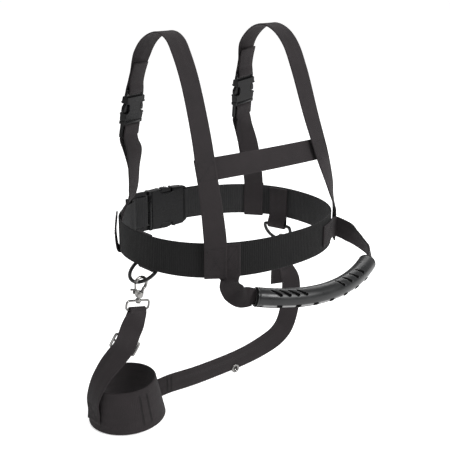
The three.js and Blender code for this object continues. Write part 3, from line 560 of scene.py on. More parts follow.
def waist_belt():
    """One tape from its loose end at the housing, round the wearer, to the frame's ladder bars."""
    bar = LARGE["housing"] - HOUSING_BAR
    tail = [(bar + 34, -1.2), (bar + 20, 1), (bar + 8, 2.6)]
    loop = [(x + bar, z) for x, z in fold(HOUSING_BAR, 1, BELT_THICK)]
    start = WAIST_SEAT.stations(tail + loop, BELT_WIDTH)
    around = [(ring_place(BELT_START - BELT_SWEEP * i / 60)[0], UP, BELT_WIDTH) for i in range(61)]
    ladder = ladder_bar(LARGE)
    end, lift = -LARGE["frame"], BAR_HALF + GAP + BELT_THICK / 2
    loop = [(x + ladder, z) for x, z in reversed(fold(LADDER_BAR, -1, BELT_THICK))]
    profile = [(end - 1, -lift)] + loop + [(end - 1, lift), (end - 8, lift + 0.4)]
    last = WAIST_SEAT.stations(profile, BELT_WIDTH)
    band = Band(same_hand(start + around + last), step=0.5)
    rib = ribs(WEAVE_PITCH, 0.24)
    piece = band.mesh("waist_belt_weave", BELT_THICK - 0.3, BELT, "harness", 16, rib)
    # The inward faces are painted darker: painted shade inside the belt.
    paint_inside_shade(piece, BELT_INSIDE_PAINTED_SHADE)
    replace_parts(piece, "waist_belt")


# Where each shoulder strap is sewn at the back, and its first places and turns above the belt
BACKS = {
    "left": (226, [((-87, -86, 50), 20), ((-84, -71.5, 96), 8), ((-81, -58, 134), 4)]),
    "right": (212, [((-101, -75, 50), 32), ((-86, -71.5, 96), 10), ((-82, -58, 134), 4)]),
}
FRONT_ANGLE = {"left": 151, "right": 145.5}


def shoulder_strap(side, seat):
    """Sewn outside the belt at the back, over the shoulder and round the housing's bar."""
    turn = vec(1, 1, 1) if side == "left" else MIRROR
    angle, rise = BACKS[side]
    foot = [ring_place(angle, OUTER_2, z) for z in (-SEWN, 0, SEWN)]
    lean = lambda degrees: vec(math.cos(math.radians(degrees)), -math.sin(math.radians(degrees)), 0)
    over = ((-79.5, -37, 189), (-79, -22, 216), (-77, -8, 230), (-76, 9, 236), (-76, 25, 234), (-77, 42, 225),
            (-77.5, 55, 211))
    run_points = rise + [(p, 0) for p in over]
    stations = [(p, s, STRAP_WIDTH) for p, _, s in foot]
    stations += [(vec(*p), lean(a), STRAP_WIDTH) for p, a in run_points]
    stations = [(at * turn, across * turn, w) for at, across, w in stations]
    bar = SMALL["housing"] - HOUSING_BAR
    loop = [(x + bar, z) for x, z in fold(HOUSING_BAR, 1, STRAP_THICK)]
    profile = [(bar + 20, 0.4), (bar + 10, 1.6)] + loop
    profile += [(bar + 9, -1.6), (bar + 20, -2.2), (bar + 34, -4.6)]
    band = Band(same_hand(stations + seat.stations(profile, STRAP_WIDTH)), step=1.5)
    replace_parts(strap(f"{side}_shoulder_webbing", band), f"{side}_shoulder_strap")
    return band


def front_strap(side, seat):
    """A loop round the belt, up to the ladder bar, and its loose tail."""
    turn = vec(1, 1, 1) if side == "left" else MIRROR
    under = -BELT_WIDTH / 2 - GAP - STRAP_THICK / 2
    loop = [
        (OUTER_1 + 0.4, BELT_WIDTH / 2 + 2), (OUTER_1 + 2.6, 0), (OUTER_1 + 0.6, under + 2),
        (OUTER_1 - 1, under), (INNER_1 + 1, under), (INNER_1, under + 1.2), (INNER_1, 0),
        (INNER_1 - 0.3, BELT_WIDTH / 2 + 2),
    ]
    stations = []
    for offset, z in loop:
        place, _, along = ring_place(FRONT_ANGLE[side], offset, z)
        stations.append((place, -along, STRAP_WIDTH))
    for p, a in (((-93, 62, 46), 34), ((-88.5, 64, 77), 25), ((-85.2, 67.5, 97), 14)):
        stations.append((vec(*p), vec(math.cos(math.radians(a)), math.sin(math.radians(a)), 0), STRAP_WIDTH))
    stations = [(at * turn, across * turn, w) for at, across, w in stations]
    bar, end = ladder_bar(SMALL), -SMALL["frame"]
    lift = BAR_HALF + GAP + STRAP_THICK / 2
    profile = [(end - 5, -lift - 2.4), (end + 1, -lift)]
    profile += [(x + bar, z) for x, z in reversed(fold(LADDER_BAR, -1, STRAP_THICK))]
    profile += [
        (end - 1, lift), (end - 7, lift - 0.6, 3), (end - 15, lift - 5, 8), (end - 30, lift - 12.5, 14),
        (end - 46, lift - 18.5, 18),
    ]
    band = Band(same_hand(stations + seat.stations(profile, STRAP_WIDTH)), step=1.5)
    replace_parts(strap(f"{side}_front_webbing", band), f"{side}_front_strap")
    return band


def cross_strap():
    """Sewn across the back between the two shoulder straps."""
    stations = [
        (vec(94 * k, -66 - 3 * (1 - k * k), 96), vec(0, 0.29, 0.957), STRAP_WIDTH)
        for k in (-1, -0.6, -0.2, 0.2, 0.6, 1)
    ]
    band = Band(stations, step=1.5)
    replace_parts(strap("cross_webbing", band), "back_cross_strap")


# ---- D-rings and tabs

D_WIRE, D_HALF, D_DEPTH = 2.3, 19, 24
BAR_OFFSET = INNER_1 - STRAP_THICK / 2 - GAP - D_WIRE
BAR_Z = -BELT_WIDTH / 2 - 1
RIGHT_TAB_DROP = 9.5
RING_SLACK = 0.15

# Angle on the belt, height of the bar, splay in degrees and the hook's shift along the ring
TABS = {"left": (184, BAR_Z, 55, 11), "right": (18, BAR_Z - RIGHT_TAB_DROP, 22, 0)}

JAW_RADIUS, HOOK_WIRE, JAW_Z = 7.5, 1.8, 17.5
PIVOT = (5.8, 8.5)
EYE_HALF, EYE_WIRE, EYE_TOP, EYE_LOW, EYE_BEND = 15.6, 1.25, -2.4, -12.6, 3.2


def ring_tab(side):
    """A short tape sewn inside the belt and folded round the D-ring's bar."""
    angle, bar_z, _, _ = TABS[side]
    reach = D_WIRE + GAP + STRAP_THICK / 2
    profile = [(INNER_1, SEWN), (INNER_1, 0), (INNER_1, bar_z)]
    for i in range(1, 6):
        turn = math.pi * i / 6
        profile.append((BAR_OFFSET + reach * math.cos(turn), bar_z - reach * math.sin(turn)))
    back = INNER_1 - STRAP_THICK - GAP
    profile += [
        (BAR_OFFSET - reach, bar_z), (BAR_OFFSET - reach + 0.6, bar_z + 4), (back, bar_z + 14), (back, SEWN),
    ]
    stations = []
    for offset, z in profile:
        place, _, along = ring_place(angle, offset, z)
        stations.append((place, along, STRAP_WIDTH))
    band = Band(stations, step=1.2)
    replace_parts(strap(f"{side}_tab_webbing", band), f"{side}_ring_tab")


class RingFrame:
    """Where a D-ring hangs, and how its hook stands on it."""

    def __init__(self, angle, bar_z, splay, shift):
        self.bar, self.out, self.along = ring_place(angle, BAR_OFFSET, bar_z)
        splay = math.radians(splay)
        self.fall = self.out * math.sin(splay) - UP * math.cos(splay)
        depth = D_DEPTH - D_HALF + math.sqrt(D_HALF ** 2 - shift ** 2)
        low = self.bar + self.fall * (depth - 0.4) + self.along * shift
        self.z = unit(UP - self.out * math.tan(math.radians(12)))
        self.x = unit(self.out - self.z * np.dot(self.out, self.z))
        self.y = np.cross(self.z, self.x)
        self.at = low - self.z * (JAW_Z + JAW_RADIUS - HOOK_WIRE - D_WIRE - 0.9) + self.x * 0.5

    def ring(self, u, v):
        return self.bar + self.along * u + self.fall * v

    def point(self, x, y, z):
        return self.at + self.x * x + self.y * y + self.z * z


def d_ring(side, hang):
    """A D of round wire with its straight bar in the tab, drawn a little thin to clear the hook."""
    points = [hang.ring(u, v) for u, v in (
        (-D_HALF + 3, 0), (-6, 0), (6, 0), (D_HALF - 3, 0), (D_HALF - 0.8, 1.2), (D_HALF, 4))]
    for i in range(1, 14):
        turn = math.pi * i / 14
        points.append(hang.ring(D_HALF * math.cos(turn), D_DEPTH - D_HALF + D_HALF * math.sin(turn)))
    points += [hang.ring(-D_HALF, 4), hang.ring(-D_HALF + 0.8, 1.2)]
    body = f"{side}_d_ring"
    piece = tube(f"{side}_ring_wire", points, D_WIRE - RING_SLACK, BLACK_METAL, body, closed=True)
    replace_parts(piece, body)


def lathe(name, place, profile, body, sides=40):
    """Plated metal turned about the z axis of a frame. place(x, y, z) gives the row frame."""
    vertices = []
    for r, z in profile:
        for j in range(sides):
            turn = j * math.tau / sides
            vertices.append(place(r * math.cos(turn), r * math.sin(turn), z))
    return add_mesh(name, vertices, ring_faces(len(profile), sides, False), NICKEL, body)


def plated(name, points, radius, body, normal, **more):
    """Plated wire or pin."""
    return tube(name, points, radius, NICKEL, body, normal=normal, **more)


def rounded(profile, bevel=0.35):
    """Cuts each inner corner of a turned profile into a small arc."""
    points = [np.array(p, float) for p in profile]
    out = [points[0]]
    for a, b, c in zip(points, points[1:], points[2:]):
        cut = min(bevel, 0.4 * np.linalg.norm(a - b), 0.4 * np.linalg.norm(c - b))
        for t in (0, 0.33, 0.67, 1):
            p, q = b + unit(a - b) * cut, b + unit(c - b) * cut
            out.append((1 - t) ** 2 * p + 2 * t * (1 - t) * b + t * t * q)
    return out + [points[-1]]


def hook(side, hang):
    """A snap hook: bent jaw, turned shank, two lugs and a gate on its rivet."""
    body, gate = f"{side}_hook", f"{side}_gate"
    arc = [hang.point(-3.4, 0, 6.5)]
    for i in range(17):
        turn = math.radians(232 - i * 218 / 16)
        arc.append(hang.point(JAW_RADIUS * math.cos(turn), 0, JAW_Z + JAW_RADIUS * math.sin(turn)))
    jaw = plated(f"{side}_hook_jaw", arc, HOOK_WIRE, body, hang.y, sides=24, steps=5)
    profile = [
        (0.01, -5.4), (2.6, -5.4), (2.6, -4.3), (1.5, -4.3), (1.5, 1.4), (3.6, 1.4), (4.3, 2.6), (4.9, 4.6),
        (4.9, 7.4), (3.4, 9), (0.01, 9),
    ]
    lathe(f"{side}_hook_shank", hang.point, rounded(profile), body)
    for label, sign in (("a", -1), ("b", 1)):
        lug(f"{side}_hook_lug_{label}", hang, sign * 2.05, body)
    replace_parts(jaw, f"{side}_hook_body")
    base, tip = vec(PIVOT[0], 0, PIVOT[1]), vec(JAW_RADIUS + 0.3, 0, JAW_Z + 0.4)
    line = [hang.point(*(base + (tip - base) * t)) for t in (0, 0.5, 1)]
    blade = plated(f"{side}_gate_blade", line, 1.2, gate, hang.y)
    thumb = lambda places: [hang.point(x, 0, PIVOT[1] + 2.2) for x in places]
    plated(f"{side}_gate_stub", thumb((6.2, 8, 11.6, 12.3)), 0.95, gate, hang.y)
    plated(f"{side}_gate_knob", thumb((10.9, 11.6, 12.4, 12.7)), 1.35, gate, hang.y)
    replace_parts(blade, f"{side}_hook_gate")
    line = [hang.point(PIVOT[0], y, PIVOT[1]) for y in (-2.9, -2.7, 0, 2.7, 2.9)]
    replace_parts(plated(f"{side}_pin_rivet", line, 0.8, body, hang.z), f"{side}_gate_pin")


def lug(name, hang, y, body):
    """A small plate with round corners, beside the gate."""
    outline = round_corners(2.7, 2.9, 1.2, 4)
    vertices = []
    for t, shrink in ((-0.5, 0.92), (-0.4, 1), (0.4, 1), (0.5, 0.92)):
        for u, v in outline:
            vertices.append(hang.point(5.1 + u * shrink, y + t, 7.7 + v * shrink))
    add_mesh(name, vertices, ring_faces(4, len(outline), False), NICKEL, body)


def hook_eye(side, hang):
    """The swivel's square eye and the collar that the shank turns in."""
    middle, half = (EYE_TOP + EYE_LOW) / 2, (EYE_TOP - EYE_LOW) / 2
    points = [hang.point(u, 0, middle + v) for u, v in round_corners(EYE_HALF, half, EYE_BEND, 4)]
    eye = plated(f"{side}_eye_wire", points, EYE_WIRE, "harness", hang.y, closed=True)
    profile = [(1.7, -3.9), (3.2, -3.9), (3.4, -3.5), (3.4, -0.7), (3.2, -0.3), (1.7, -0.3), (1.7, -3.9)]
    lathe(f"{side}_eye_collar", hang.point, rounded(profile, 0.2), "harness")
    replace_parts(eye, f"{side}_hook_eye")


# ---- leash

LOOP_CENTRE, LOOP_RADIUS, LOOP_WIDTH, LOOP_THICK = vec(-151, 0, -180), 40.5, 50, 2.2
LEAN, TAPER = math.radians(4), math.tan(math.radians(9))
LOOP_OUT = vec(math.cos(LEAN), 0, math.sin(LEAN))
LOOP_UP = vec(-math.sin(LEAN), 0, math.cos(LEAN))


def on_loop(side, height):
    reach = LOOP_RADIUS - height * TAPER + (LOOP_THICK + STRAP_THICK) / 2 + GAP + 0.4
    return LOOP_CENTRE + LOOP_OUT * side * reach + LOOP_UP * height


SLIDER_AT, SLIDER_ACROSS = vec(-163.5, -22, -104), vec(0.82, -0.55, 0)
LEFT_ROUTE = [
    (vec(-157.5, -27, -84), vec(0.9, -0.42, 0)), (SLIDER_AT, SLIDER_ACROSS),
    (vec(-171, -17, -116), vec(0.72, -0.68, 0)), (vec(-180.5, -12, -129), vec(0.5, -0.86, 0)),
    (vec(-190, -7, -146), vec(0.2, -0.98, 0)), (on_loop(-1, 12) - LOOP_OUT * 2, vec(0, -1, 0)),
    (on_loop(-1, -4), vec(0, -1, 0)), (on_loop(-1, -14), vec(0, -1, 0)),
]
RIGHT_ROUTE = [
    (vec(136, 30, -108), vec(0.9, -0.42, 0)), (vec(126, 18, -127), vec(0.84, -0.54, 0)),
    (vec(112, 7, -145), vec(0.74, -0.6, -0.3)), (vec(99, 2, -160), vec(0.6, -0.6, -0.5)),
    (vec(84, 0, -169), vec(0.42, -0.5, -0.75)), (vec(62, 0, -176), vec(0.2, -0.34, -0.92)),
    (vec(31, 0, -181.5), vec(0.1, -0.12, -0.99)), (vec(-8, 0, -184), vec(0, 0, -1)),
    (vec(-50, 0, -185), vec(0, 0, -1)), (on_loop(1, -8) + LOOP_OUT * 16, -LOOP_UP),
    (on_loop(1, -8) + LOOP_OUT * 1.2, -LOOP_UP),
]
TAIL = {"left": 16, "right": 38}

# The right tail's end fans out sideways: how far and which way its width lies
FAN_SIDE = vec(0.783, -0.622, 0)
FAN = ((5, vec(0.9, -0.42, 0)), (2, vec(0.93, -0.1, 0.1)))


def leash(side, hang, route):
    """One strap: a sewn tail behind, round the eye's lower bar, and down its route."""
    behind = math.copysign(1, hang.y[1])
    reach = behind * (EYE_WIRE + GAP + STRAP_THICK / 2)
    narrow = STRAP_WIDTH - 3
    seat = lambda y, z, width: (hang.point(0, y, z), hang.x, width)
    stations = [
        seat(2.6 * behind, EYE_LOW - TAIL[side], STRAP_WIDTH), seat(2.6 * behind, EYE_LOW - 8, STRAP_WIDTH),
        seat(reach, EYE_LOW - 3, narrow), seat(reach, EYE_LOW, narrow),
    ]
    if side == "right":
        for i, (aside, across) in enumerate(FAN):
            stations[i] = (stations[i][0] - FAN_SIDE * aside, across, STRAP_WIDTH)
    for degrees in (45, 90, 135):
        turn = math.radians(degrees)
        stations.append(seat(reach * math.cos(turn), EYE_LOW + abs(reach) * math.sin(turn), narrow))
    stations += [seat(-reach, EYE_LOW, narrow), seat(-reach, EYE_LOW - 5, STRAP_WIDTH)]
    stations += [(at, across, STRAP_WIDTH) for at, across in route]
    band = Band(same_hand(stations), step=1.5)
    first = int(np.argmin(np.linalg.norm(band.at - hang.point(0, -reach, EYE_LOW), axis=1)))
    folded = strap(f"{side}_leash_fold", band.part(0, first + 1))
    free = band.part(first, len(band.at))
    piece = strap(f"{side}_leash_webbing", free)
    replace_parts(piece, f"{side}_leash_strap")
    return band, free, piece, folded


def declare_leash(line, piece, ends):
    """The free run of the leash, from the eye to the wrist loop."""
    line = line.at * MM
    length = float(np.linalg.norm(np.diff(line, axis=0), axis=1).sum())
    tuple(line[0])
    [tuple(p) for p in line]


def wrist_loop():
    """A wide tape in a ring that tapers upwards."""
    stations = []
    for i in range(40):
        turn = math.tau * i / 40
        out = LOOP_OUT * math.cos(turn) + vec(0, math.sin(turn), 0)
        stations.append((LOOP_CENTRE + out * LOOP_RADIUS, unit(LOOP_UP - out * TAPER), LOOP_WIDTH))
    band = Band(stations, step=0.5, closed=True)
    rib = ribs(WEAVE_PITCH, 0.22)
    piece = band.mesh("wrist_loop_webbing", LOOP_THICK - 0.3, WEBBING, "harness", 18, rib)
    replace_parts(piece, "wrist_loop")
    return band


def slider():
    """A wire ladder lock behind the left leash, with its bar."""
    along = unit(LEFT_ROUTE[2][0] - LEFT_ROUTE[0][0])
    across = unit(SLIDER_ACROSS - along * np.dot(SLIDER_ACROSS, along))
    behind = unit(np.cross(across, along))
    behind = behind * math.copysign(1, behind[1])
    bend, wide, tall = 1.8, STRAP_WIDTH / 2 + 1.8, 8.5
    centre = SLIDER_AT + behind * (STRAP_THICK / 2 + 3.4)
    points = [centre + across * u + along * v for u, v in round_corners(wide, tall, bend, 3)]
    outline = plated("slider_frame", points, 1.5, "harness", behind, closed=True)
    bar = plated("slider_bar", [centre + across * u for u in (-wide, 0, wide)], 1.4, "harness", behind)
    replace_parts(outline, "left_leash_slider")
    return [outline, bar]


def stud():
    """A press stud's cap in front of the right leash and its socket behind."""
    at = vec(14, 0, -194)
    toward = lambda sign: (lambda x, y, z: at + vec(x, z * sign, y))
    off = STRAP_THICK / 2 + 0.4
    cap = [(2.0, off - 0.2), (5.6, off), (6.0, off + 0.7), (5.2, off + 1.6), (3.6, off + 1.7),
           (2.7, off + 0.9), (2.5, off - 0.1)]
    socket = [(1.6, off), (5.2, off), (5.2, off + 0.9), (3.4, off + 1.9), (1.7, off + 1.9), (1.6, off)]
    front = lathe("stud_cap", toward(-1), rounded(cap, 0.3), "harness")
    back = lathe("stud_socket", toward(1), rounded(socket, 0.3), "harness")
    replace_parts(front, "leash_stud_cap")
    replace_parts(back, "leash_stud_socket")
    return [front, back]


left_frame, right_frame = RingFrame(*TABS["left"]), RingFrame(*TABS["right"])
left_band, left_free, left_piece, left_fold = leash("left", left_frame, LEFT_ROUTE)
right_band, right_free, right_piece, right_fold = leash("right", right_frame, RIGHT_ROUTE)
declare_leash(left_free, left_piece, slider() + [left_fold])
declare_leash(right_free, right_piece, stud() + [right_fold])
loop_band = wrist_loop()

waist_belt()
left_shoulder, right_shoulder = shoulder_strap("left", LEFT_SEAT), shoulder_strap("right", RIGHT_SEAT)
left_front, right_front = front_strap("left", LEFT_SEAT), front_strap("right", RIGHT_SEAT)
cross_strap()
for name, place in (("left", left_frame), ("right", right_frame)):
    ring_tab(name)
    d_ring(name, place)
    hook(name, place)
    hook_eye(name, place)

# ---- handle

GRIP_END, GRIP_MID, GRIP_RADIUS, GRIP_BORE = vec(85, -154, -22), vec(0, -175, -31), 10.5, 7
LEFT_HANDLE_ANGLE, RIGHT_HANDLE_ANGLE, RIGHT_LEAVE = 233, 311, 322.6


def grip_point(k):
    bend = k * k
    return vec(GRIP_END[0] * k, GRIP_MID[1] + (GRIP_END[1] - GRIP_MID[1]) * bend,
               GRIP_MID[2] + (GRIP_END[2] - GRIP_MID[2]) * bend)


# Comma grooves: place from the grip's left end, half length along it and half height round it
COMMAS = [(21 + 10 * i, 6.0, 3.6) for i in range(4)] + [(-36 - 12.6 * i, 4.2, 5.2) for i in range(4)]
COMMA_TURN, PARTING, SEAM, KEEL = (math.radians(a) for a in (52, 118, -38, -150))

# Each end's lip: radius and how far inside the end
LIP = ((9.0, -0.1), (8.2, 0.1), (7.6, 0.8), (7.3, 2.2), (7.2, 9), (0.02, 9))


def comma(along, around, half_along, half_around):
    """How deep a slanted groove is at a place near its centre, in millimetres."""
    reach = math.hypot(half_along, half_around)
    u = (along * half_along - around * half_around) / reach
    v = (along * half_around + around * half_along) / reach
    width = 1.7 * (0.8 + 0.3 * np.clip(u / reach, -1, 1))
    outside = np.hypot(np.maximum(np.abs(u) - reach + width, 0), v) / width
    return 1.6 * np.clip((1 - outside) / 0.35, 0, 1)


def grip_surface(s, turn):
    """The moulding's radius at each length and turn, and which of it is in shadow."""
    place, turn = np.meshgrid(s, turn, indexing="ij")
    end = np.minimum(place, s[-1] - place)
    ring, lip = 0.45 * np.exp(-((end - 3.2) / 0.5) ** 2), 0.8 * np.clip((1.2 - end) / 1.2, 0, 1) ** 2
    grooves = sum(comma(place - at % s[-1], (turn - COMMA_TURN) * GRIP_RADIUS, a, b) for at, a, b in COMMAS)
    seam, parting = (turn - SEAM) * GRIP_RADIUS, (turn - PARTING) * GRIP_RADIUS
    channel = 0.5 * np.clip((1.9 - np.abs(seam)) / 0.3, 0, 1) * (end > 5)
    radius = GRIP_RADIUS - ring - lip - grooves - channel
    radius = radius - 0.35 * np.exp(-(parting / 0.35) ** 2)
    # The underside band, the grooves and the end lips are marked for painted shade.
    underside = (turn < SEAM - 0.16) & (turn > KEEL)
    return radius, (grooves > 0.4) | underside | (end < 1.6)


def grip():
    """A moulded tube with comma grooves above, a toothed seam below and an open lip at each end."""
    count, sides = 420, 144
    centre = np.array([grip_point(k) for k in np.linspace(-1, 1, count)])
    along = unit(np.gradient(centre, axis=0))
    out = unit(np.cross(along, UP))
    up = np.cross(out, along)
    s = np.concatenate([[0], np.cumsum(np.linalg.norm(np.diff(centre, axis=0), axis=1))])
    turn = np.arange(sides) * math.tau / sides
    turn = np.where(turn > math.pi, turn - math.tau, turn)
    radius, shadow = grip_surface(s, turn)
    spoke = lambda at: out[at] * np.cos(turn)[:, None] + up[at] * np.sin(turn)[:, None]
    lip = lambda at, sign: [centre[at] - along[at] * depth * sign + spoke(at) * r for r, depth in LIP]
    skin = [centre[i] + spoke(i) * radius[i][:, None] for i in range(count)]
    rings = lip(0, -1)[::-1] + skin + lip(-1, 1)
    faces = ring_faces(len(rings), sides, False)
    piece = add_mesh("grip_tube", np.concatenate(rings), faces, GRIP, "handle")
    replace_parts(piece, "grip_upper_shell", "grip_lower_shell")
    # The marked faces take the near-black second material: painted shade.
    piece.data.materials.append(GRIP_PAINTED_SHADE)
    index = np.zeros(len(piece.data.polygons), np.int32)
    index[len(LIP) * sides:(len(LIP) + count - 1) * sides] = shadow[:-1].ravel()
    piece.data.polygons.foreach_set("material_index", index)
    seam_blocks(s, centre, along, out, up)


def seam_blocks(s, centre, along, out, up):
    """Strips let into the grip's lower seam, painted pale as a painted reflection of the white floor, with
    dark bridges between them in the near-black painted-shade material.
    """
    count = 8
    pitch = (s[-1] - 10) / count
    for i in range(count):
        middle = 5 + pitch * (i + 0.5)
        # The strips are painted pale: painted reflection.
        blocks = [("strip", middle, pitch * 0.36, 0.05, GRIP_STRIP_PAINTED_REFLECTION)]
        if i < count - 1:
            # Bridges in the near-black material: painted shade.
            blocks.append(("bridge", middle + pitch / 2, pitch * 0.12, 0.85, GRIP_PAINTED_SHADE))
        for kind, place, half, rise, material in blocks:
            half_profile = ((1.7, -1), (1.7, rise - 0.3), (1.4, rise))
            profile = [(-v, w) for v, w in half_profile] + list(half_profile[::-1])
            points = []
            for t, size in ((-1, 0.55), (-0.96, 0.9), (-0.8, 1), (0.8, 1), (0.96, 0.9), (1, 0.55)):
                at = np.array([np.interp(place + t * half, s, centre[:, k]) for k in range(3)])
                near = int(np.argmin(np.abs(s - place - t * half)))
                face = out[near] * math.cos(SEAM) + up[near] * math.sin(SEAM)
                side = np.cross(along[near], face)
                points += [at + side * v * size + face * (GRIP_RADIUS + w * size) for v, w in profile]
            add_mesh(f"grip_{kind}_{i}", points, ring_faces(6, 6, False), material, "handle")


def handle_webbing():
    """Two ends that bend at the belt, and the run inside the grip."""
    width = 2 * (GRIP_BORE - 2 * GAP)
    foot = [ring_place(LEFT_HANDLE_ANGLE, OUTER_1, z) for z in (SEWN, 0, -SEWN + 2)]
    turned, _, aside = ring_place(LEFT_HANDLE_ANGLE, OUTER_1 + 1, -BELT_WIDTH / 2 - 3)
    left = [(p, s, STRAP_WIDTH) for p, _, s in foot] + [
        (turned, aside, STRAP_WIDTH - 5), (vec(-81.5, -109, -25), vec(0.85, -0.5, 0.2), STRAP_WIDTH - 2),
        (vec(-85.5, -121, -27.5), vec(0.75, -0.38, 0.54), STRAP_WIDTH),
        (vec(-88.5, -137, -27.5), vec(0.42, -0.2, 0.88), STRAP_WIDTH - 3),
        (grip_point(-1.05), UP, STRAP_WIDTH - 4.5),
        (grip_point(-1.01), UP, STRAP_WIDTH - 7), (grip_point(-0.97), UP, width),
    ]
    left_web = Band(same_hand(left), step=1.2)
    piece = strap("handle_webbing_left", left_web, None)
    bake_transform(piece)
    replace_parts(piece, "left_handle_tab", "handle_strap")
    bend = ring_place(RIGHT_LEAVE, OUTER_1 + 0.2)[0] + vec(1.2, -4, 0)
    right = [(ring_place(a, OUTER_1)[0], UP, STRAP_WIDTH) for a in range(302, 319, 4)] + [
        (bend, UP, STRAP_WIDTH),
        (vec(107.5, -99, -3), UP, STRAP_WIDTH), (vec(109, -112, -8), vec(-0.25, -0.15, 0.95), STRAP_WIDTH),
        (vec(107.5, -131, -15), vec(-0.45, -0.2, 0.87), STRAP_WIDTH),
        (vec(99, -146, -18), vec(-0.3, 0, 0.95), STRAP_WIDTH - 2), (grip_point(1.04), UP, STRAP_WIDTH - 5),
        (grip_point(0.97), UP, width),
    ]
    right_web = Band(same_hand(right), step=1.2)
    piece = strap("handle_webbing_right", right_web, None)
    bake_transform(piece)
    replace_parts(piece, "right_handle_tab")
    inner = [(grip_point(k), UP, width) for k in np.linspace(-0.95, 0.95, 25)]
    Band(inner, step=3).mesh("handle_webbing_inner", STRAP_THICK, WEBBING, "handle", 16)
    return left_web, right_web


# ---- buckles


def soften(node, material, width=0.45):
    """Rounds the moulded edges of a carried-over solid and gives it its finish."""
    node.data.materials.clear()
    node.data.materials.append(material)
    node.data.polygons.foreach_set("material_index", [0] * len(node.data.polygons))
    node.data.polygons.foreach_set("use_smooth", [True] * len(node.data.polygons))
    weld = node.modifiers.new("weld", "WELD")
    weld.merge_threshold = 0.00002
    bevel = node.modifiers.new("bevel", "BEVEL")
    bevel.width = width * MM
    bevel.segments = 3
    bevel.limit_method = "ANGLE"
    bevel.angle_limit = math.radians(32)
    bevel.harden_normals = True
    node.modifiers.new("normals", "WEIGHTED_NORMAL").keep_sharp = True


def pad(name, seat, body, xs, ys, z, rise):
    """A low rounded block moulded on a buckle's face. rise is signed along the face's normal."""
    (x0, x1), (y0, y1) = sorted(xs), sorted(ys)
    middle, half_x, half_y = ((x0 + x1) / 2, (y0 + y1) / 2), (x1 - x0) / 2, (y1 - y0) / 2
    outline = round_corners(half_x, half_y, min(half_x, half_y) * 0.9, 5)
    vertices = []
    for t, inset in ((-0.3, 0), (0.55, 0), (0.85, 0.12), (1.0, 0.35)):
        for x, y in outline:
            far = math.hypot(x, y)
            keep = 1 - min(inset * abs(rise), far * 0.8) / far
            vertices.append(seat.point(middle[0] + x * keep, middle[1] + y * keep, z + rise * t))
    return add_mesh(name, vertices, ring_faces(4, len(outline), False), PLASTIC, body)


def windows(seat, half, length, face):
    """A raised oval rim round each thumb window, on both faces of the housing."""
    middle, across, reach = length * 0.41, length * 0.185, 7.6 if seat is WAIST_SEAT else 7.0
    for side, end in ((-1, "b"), (1, "a")):
        for sign, label in ((1, "outer"), (-1, "inner")):
            points = []
            for k in range(15):
                turn = math.pi * k / 14
                inset = reach * math.sin(turn) ** 0.7
                points.append(seat.point(middle + across * math.cos(turn), side * (half - 0.4 - inset),
                                         sign * (face - 0.25)))
            tube(f"{seat.name}_{label}_rim_{end}", points, RIM_RADIUS, PLASTIC, "harness", sides=10, steps=3,
                 normal=seat.z)


def buckle(seat):
    """Finish on the mated halves, with moulded ribs and a rim round the housing."""
    size, name = seat.size, seat.name
    for part in ("housing", "frame", "prong_a", "prong_b"):
        soften(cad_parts[f"{name}_buckle_{part}"], PLASTIC, 0.5 if part == "housing" else 0.3)
    half, length, face = size["outer"] / 2, size["housing"], size["thick"] / 2
    windows(seat, half, length, face)
    shoulder = face - 0.5
    for sign, label in ((1, "outer"), (-1, "inner")):
        pad(f"{name}_{label}_lip", seat, "harness", (-3.6, -1.0), (-half * 0.8, half * 0.8), shoulder * sign,
            0.3 * sign)
    for prong, side in (("a", 1), ("b", -1)):
        for i in range(4):
            x = length * (0.32 + 0.045 * i)
            ys = (side * (half - 0.6), side * (half + 0.9))
            body = f"{name}_prong_{prong}"
            pad(f"{body}_grip_{i}", seat, body, (x, x + 0.7), ys, face - 2.4, 0.3)


# ---- stitching

TACK_HALF = 10

def facing(band, s, direction):
    """Which face of a band looks along a direction at length s."""
    step = band.place(s, 0, 1) - band.place(s, 0, 0)
    return 1 if np.dot(step, direction) > 0 else -1


def sew_box(name, band, s0, s1, direction, lift):
    sign = facing(band, (s0 + s1) / 2, direction)
    sew(name, band, box_stitch(s0, s1, TACK_HALF), sign * lift)


def sew_bars(name, band, places, direction, lift, half=TACK_HALF):
    lines = [line for s in places for line in bar_tack(s, half)]
    sew(name, band, lines, facing(band, places[0], direction) * lift, pitch=1.6)


def nearest(band, point, low=0.0, high=1.0):
    """A band's own length where it is nearest to a point, within a share of its run."""
    near = np.linalg.norm(band.at - point, axis=1)
    share = band.s / band.s[-1]
    near = np.where((share >= low) & (share <= high), near, 1e9)
    return band.s[int(np.argmin(near))]


def mirrored(side, angle):
    """An angle given for the left side, on the belt's own side."""
    return angle if side == "left" else 180 - angle


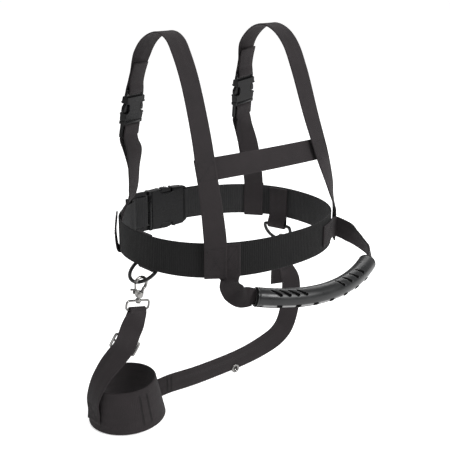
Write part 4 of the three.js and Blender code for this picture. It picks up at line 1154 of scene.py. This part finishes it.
def stitches():
    """The sewing that holds every strap."""
    lift = STRAP_THICK / 2
    for side, band, sign in (("left", left_shoulder, -1), ("right", right_shoulder, 1)):
        _, out, _ = ring_place(mirrored(side, BACKS[side][0]))
        sew_box(f"{side}_foot_stitches", band, 3, 34, out, lift)
        crossing = nearest(band, vec(84 * sign, -71.5, 96), 0, 0.4)
        sew_box(f"{side}_cross_stitches", band, crossing - 10, crossing + 10, vec(0, -1, 0), lift)
        top = nearest(band, vec(77 * sign, 55, 211), 0.3, 0.9)
        sew_bars(f"{side}_shoulder_tacks", band, [top + 4, top + 17], vec(0, 1, 0.3), lift)
    for side, band in (("left", left_front), ("right", right_front)):
        _, out, _ = ring_place(mirrored(side, FRONT_ANGLE[side]))
        sew_box(f"{side}_front_stitches", band, 4, 22, out, lift)
    for side, band, angle, end in (
        ("left", left_handle, LEFT_HANDLE_ANGLE, 30), ("right", right_handle, RIGHT_HANDLE_ANGLE, 26),
    ):
        _, out, _ = ring_place(angle)
        sew_box(f"{side}_handle_stitches", band, 3, end, out, lift)
    for side, band, place in (("left", left_band, left_frame), ("right", right_band, right_frame)):
        start = nearest(band, place.point(0, -2.4, EYE_LOW - 8), 0.05, 0.6)
        sew_bars(f"{side}_leash_tacks", band, [start, start + 5], -place.y, lift)
    end = left_band.s[-1]
    sew_box("left_loop_stitches", left_band, end - 20, end - 3, -LOOP_OUT, lift)
    end = right_band.s[-1]
    sew_bars("right_loop_tacks", right_band, [end - 20, end - 14], vec(0, -1, 0), lift)
    seam = nearest(loop_band, LOOP_CENTRE - vec(0, LOOP_RADIUS, 0))
    for i, offset in enumerate((-5, 5)):
        sew_bars(f"wrist_seam_{i}", loop_band, [seam + offset], vec(0, -1, 0), LOOP_THICK / 2, half=18)


grip()
left_handle, right_handle = handle_webbing()
for seat in (WAIST_SEAT, LEFT_SEAT, RIGHT_SEAT):
    buckle(seat)
stitches()

# ---- stage


FLOOR_Z = -0.2085


def stage():
    """A plain white table and soft light from the right of the camera."""
    bpy.ops.mesh.primitive_plane_add(size=14, location=(0, 2, FLOOR_Z))
    floor = bpy.context.object
    floor.name = "floor"
    table = Shader("floor", Roughness=0.9, Emission_Strength=0.55)
    table.bsdf.inputs["Base Color"].default_value = (0.92, 0.92, 0.92, 1)
    table.bsdf.inputs["Emission Color"].default_value = (1, 1, 1, 1)
    floor.data.materials.append(table.material)
    floor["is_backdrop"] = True
    world = bpy.data.worlds.new("studio")
    world.use_nodes = True
    world.node_tree.nodes["Background"].inputs[0].default_value = (1, 1, 1, 1)
    world.node_tree.nodes["Background"].inputs[1].default_value = 0.5
    scene = bpy.context.scene
    scene.world = world
    scene.view_settings.view_transform = "Standard"
    for name, place, size, power in (
        ("key", (0.5, -1.9, 1.3), 0.8, 44), ("top", (-0.3, 0.3, 1.7), 1.0, 8),
        ("rim", (1.5, 0.6, 0.9), 0.8, 10),
    ):
        data = bpy.data.lights.new(name, "AREA")
        data.size = size
        data.energy = power
        lamp = bpy.data.objects.new(name, data)
        lamp.location = place
        lamp.rotation_euler = (-Vector(place)).to_track_quat("-Z", "Y").to_euler()
        scene.collection.objects.link(lamp)


stage()

new_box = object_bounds()
[[list(map(float, corner)) for corner in box] for box in (CAD_BOX, new_box)]
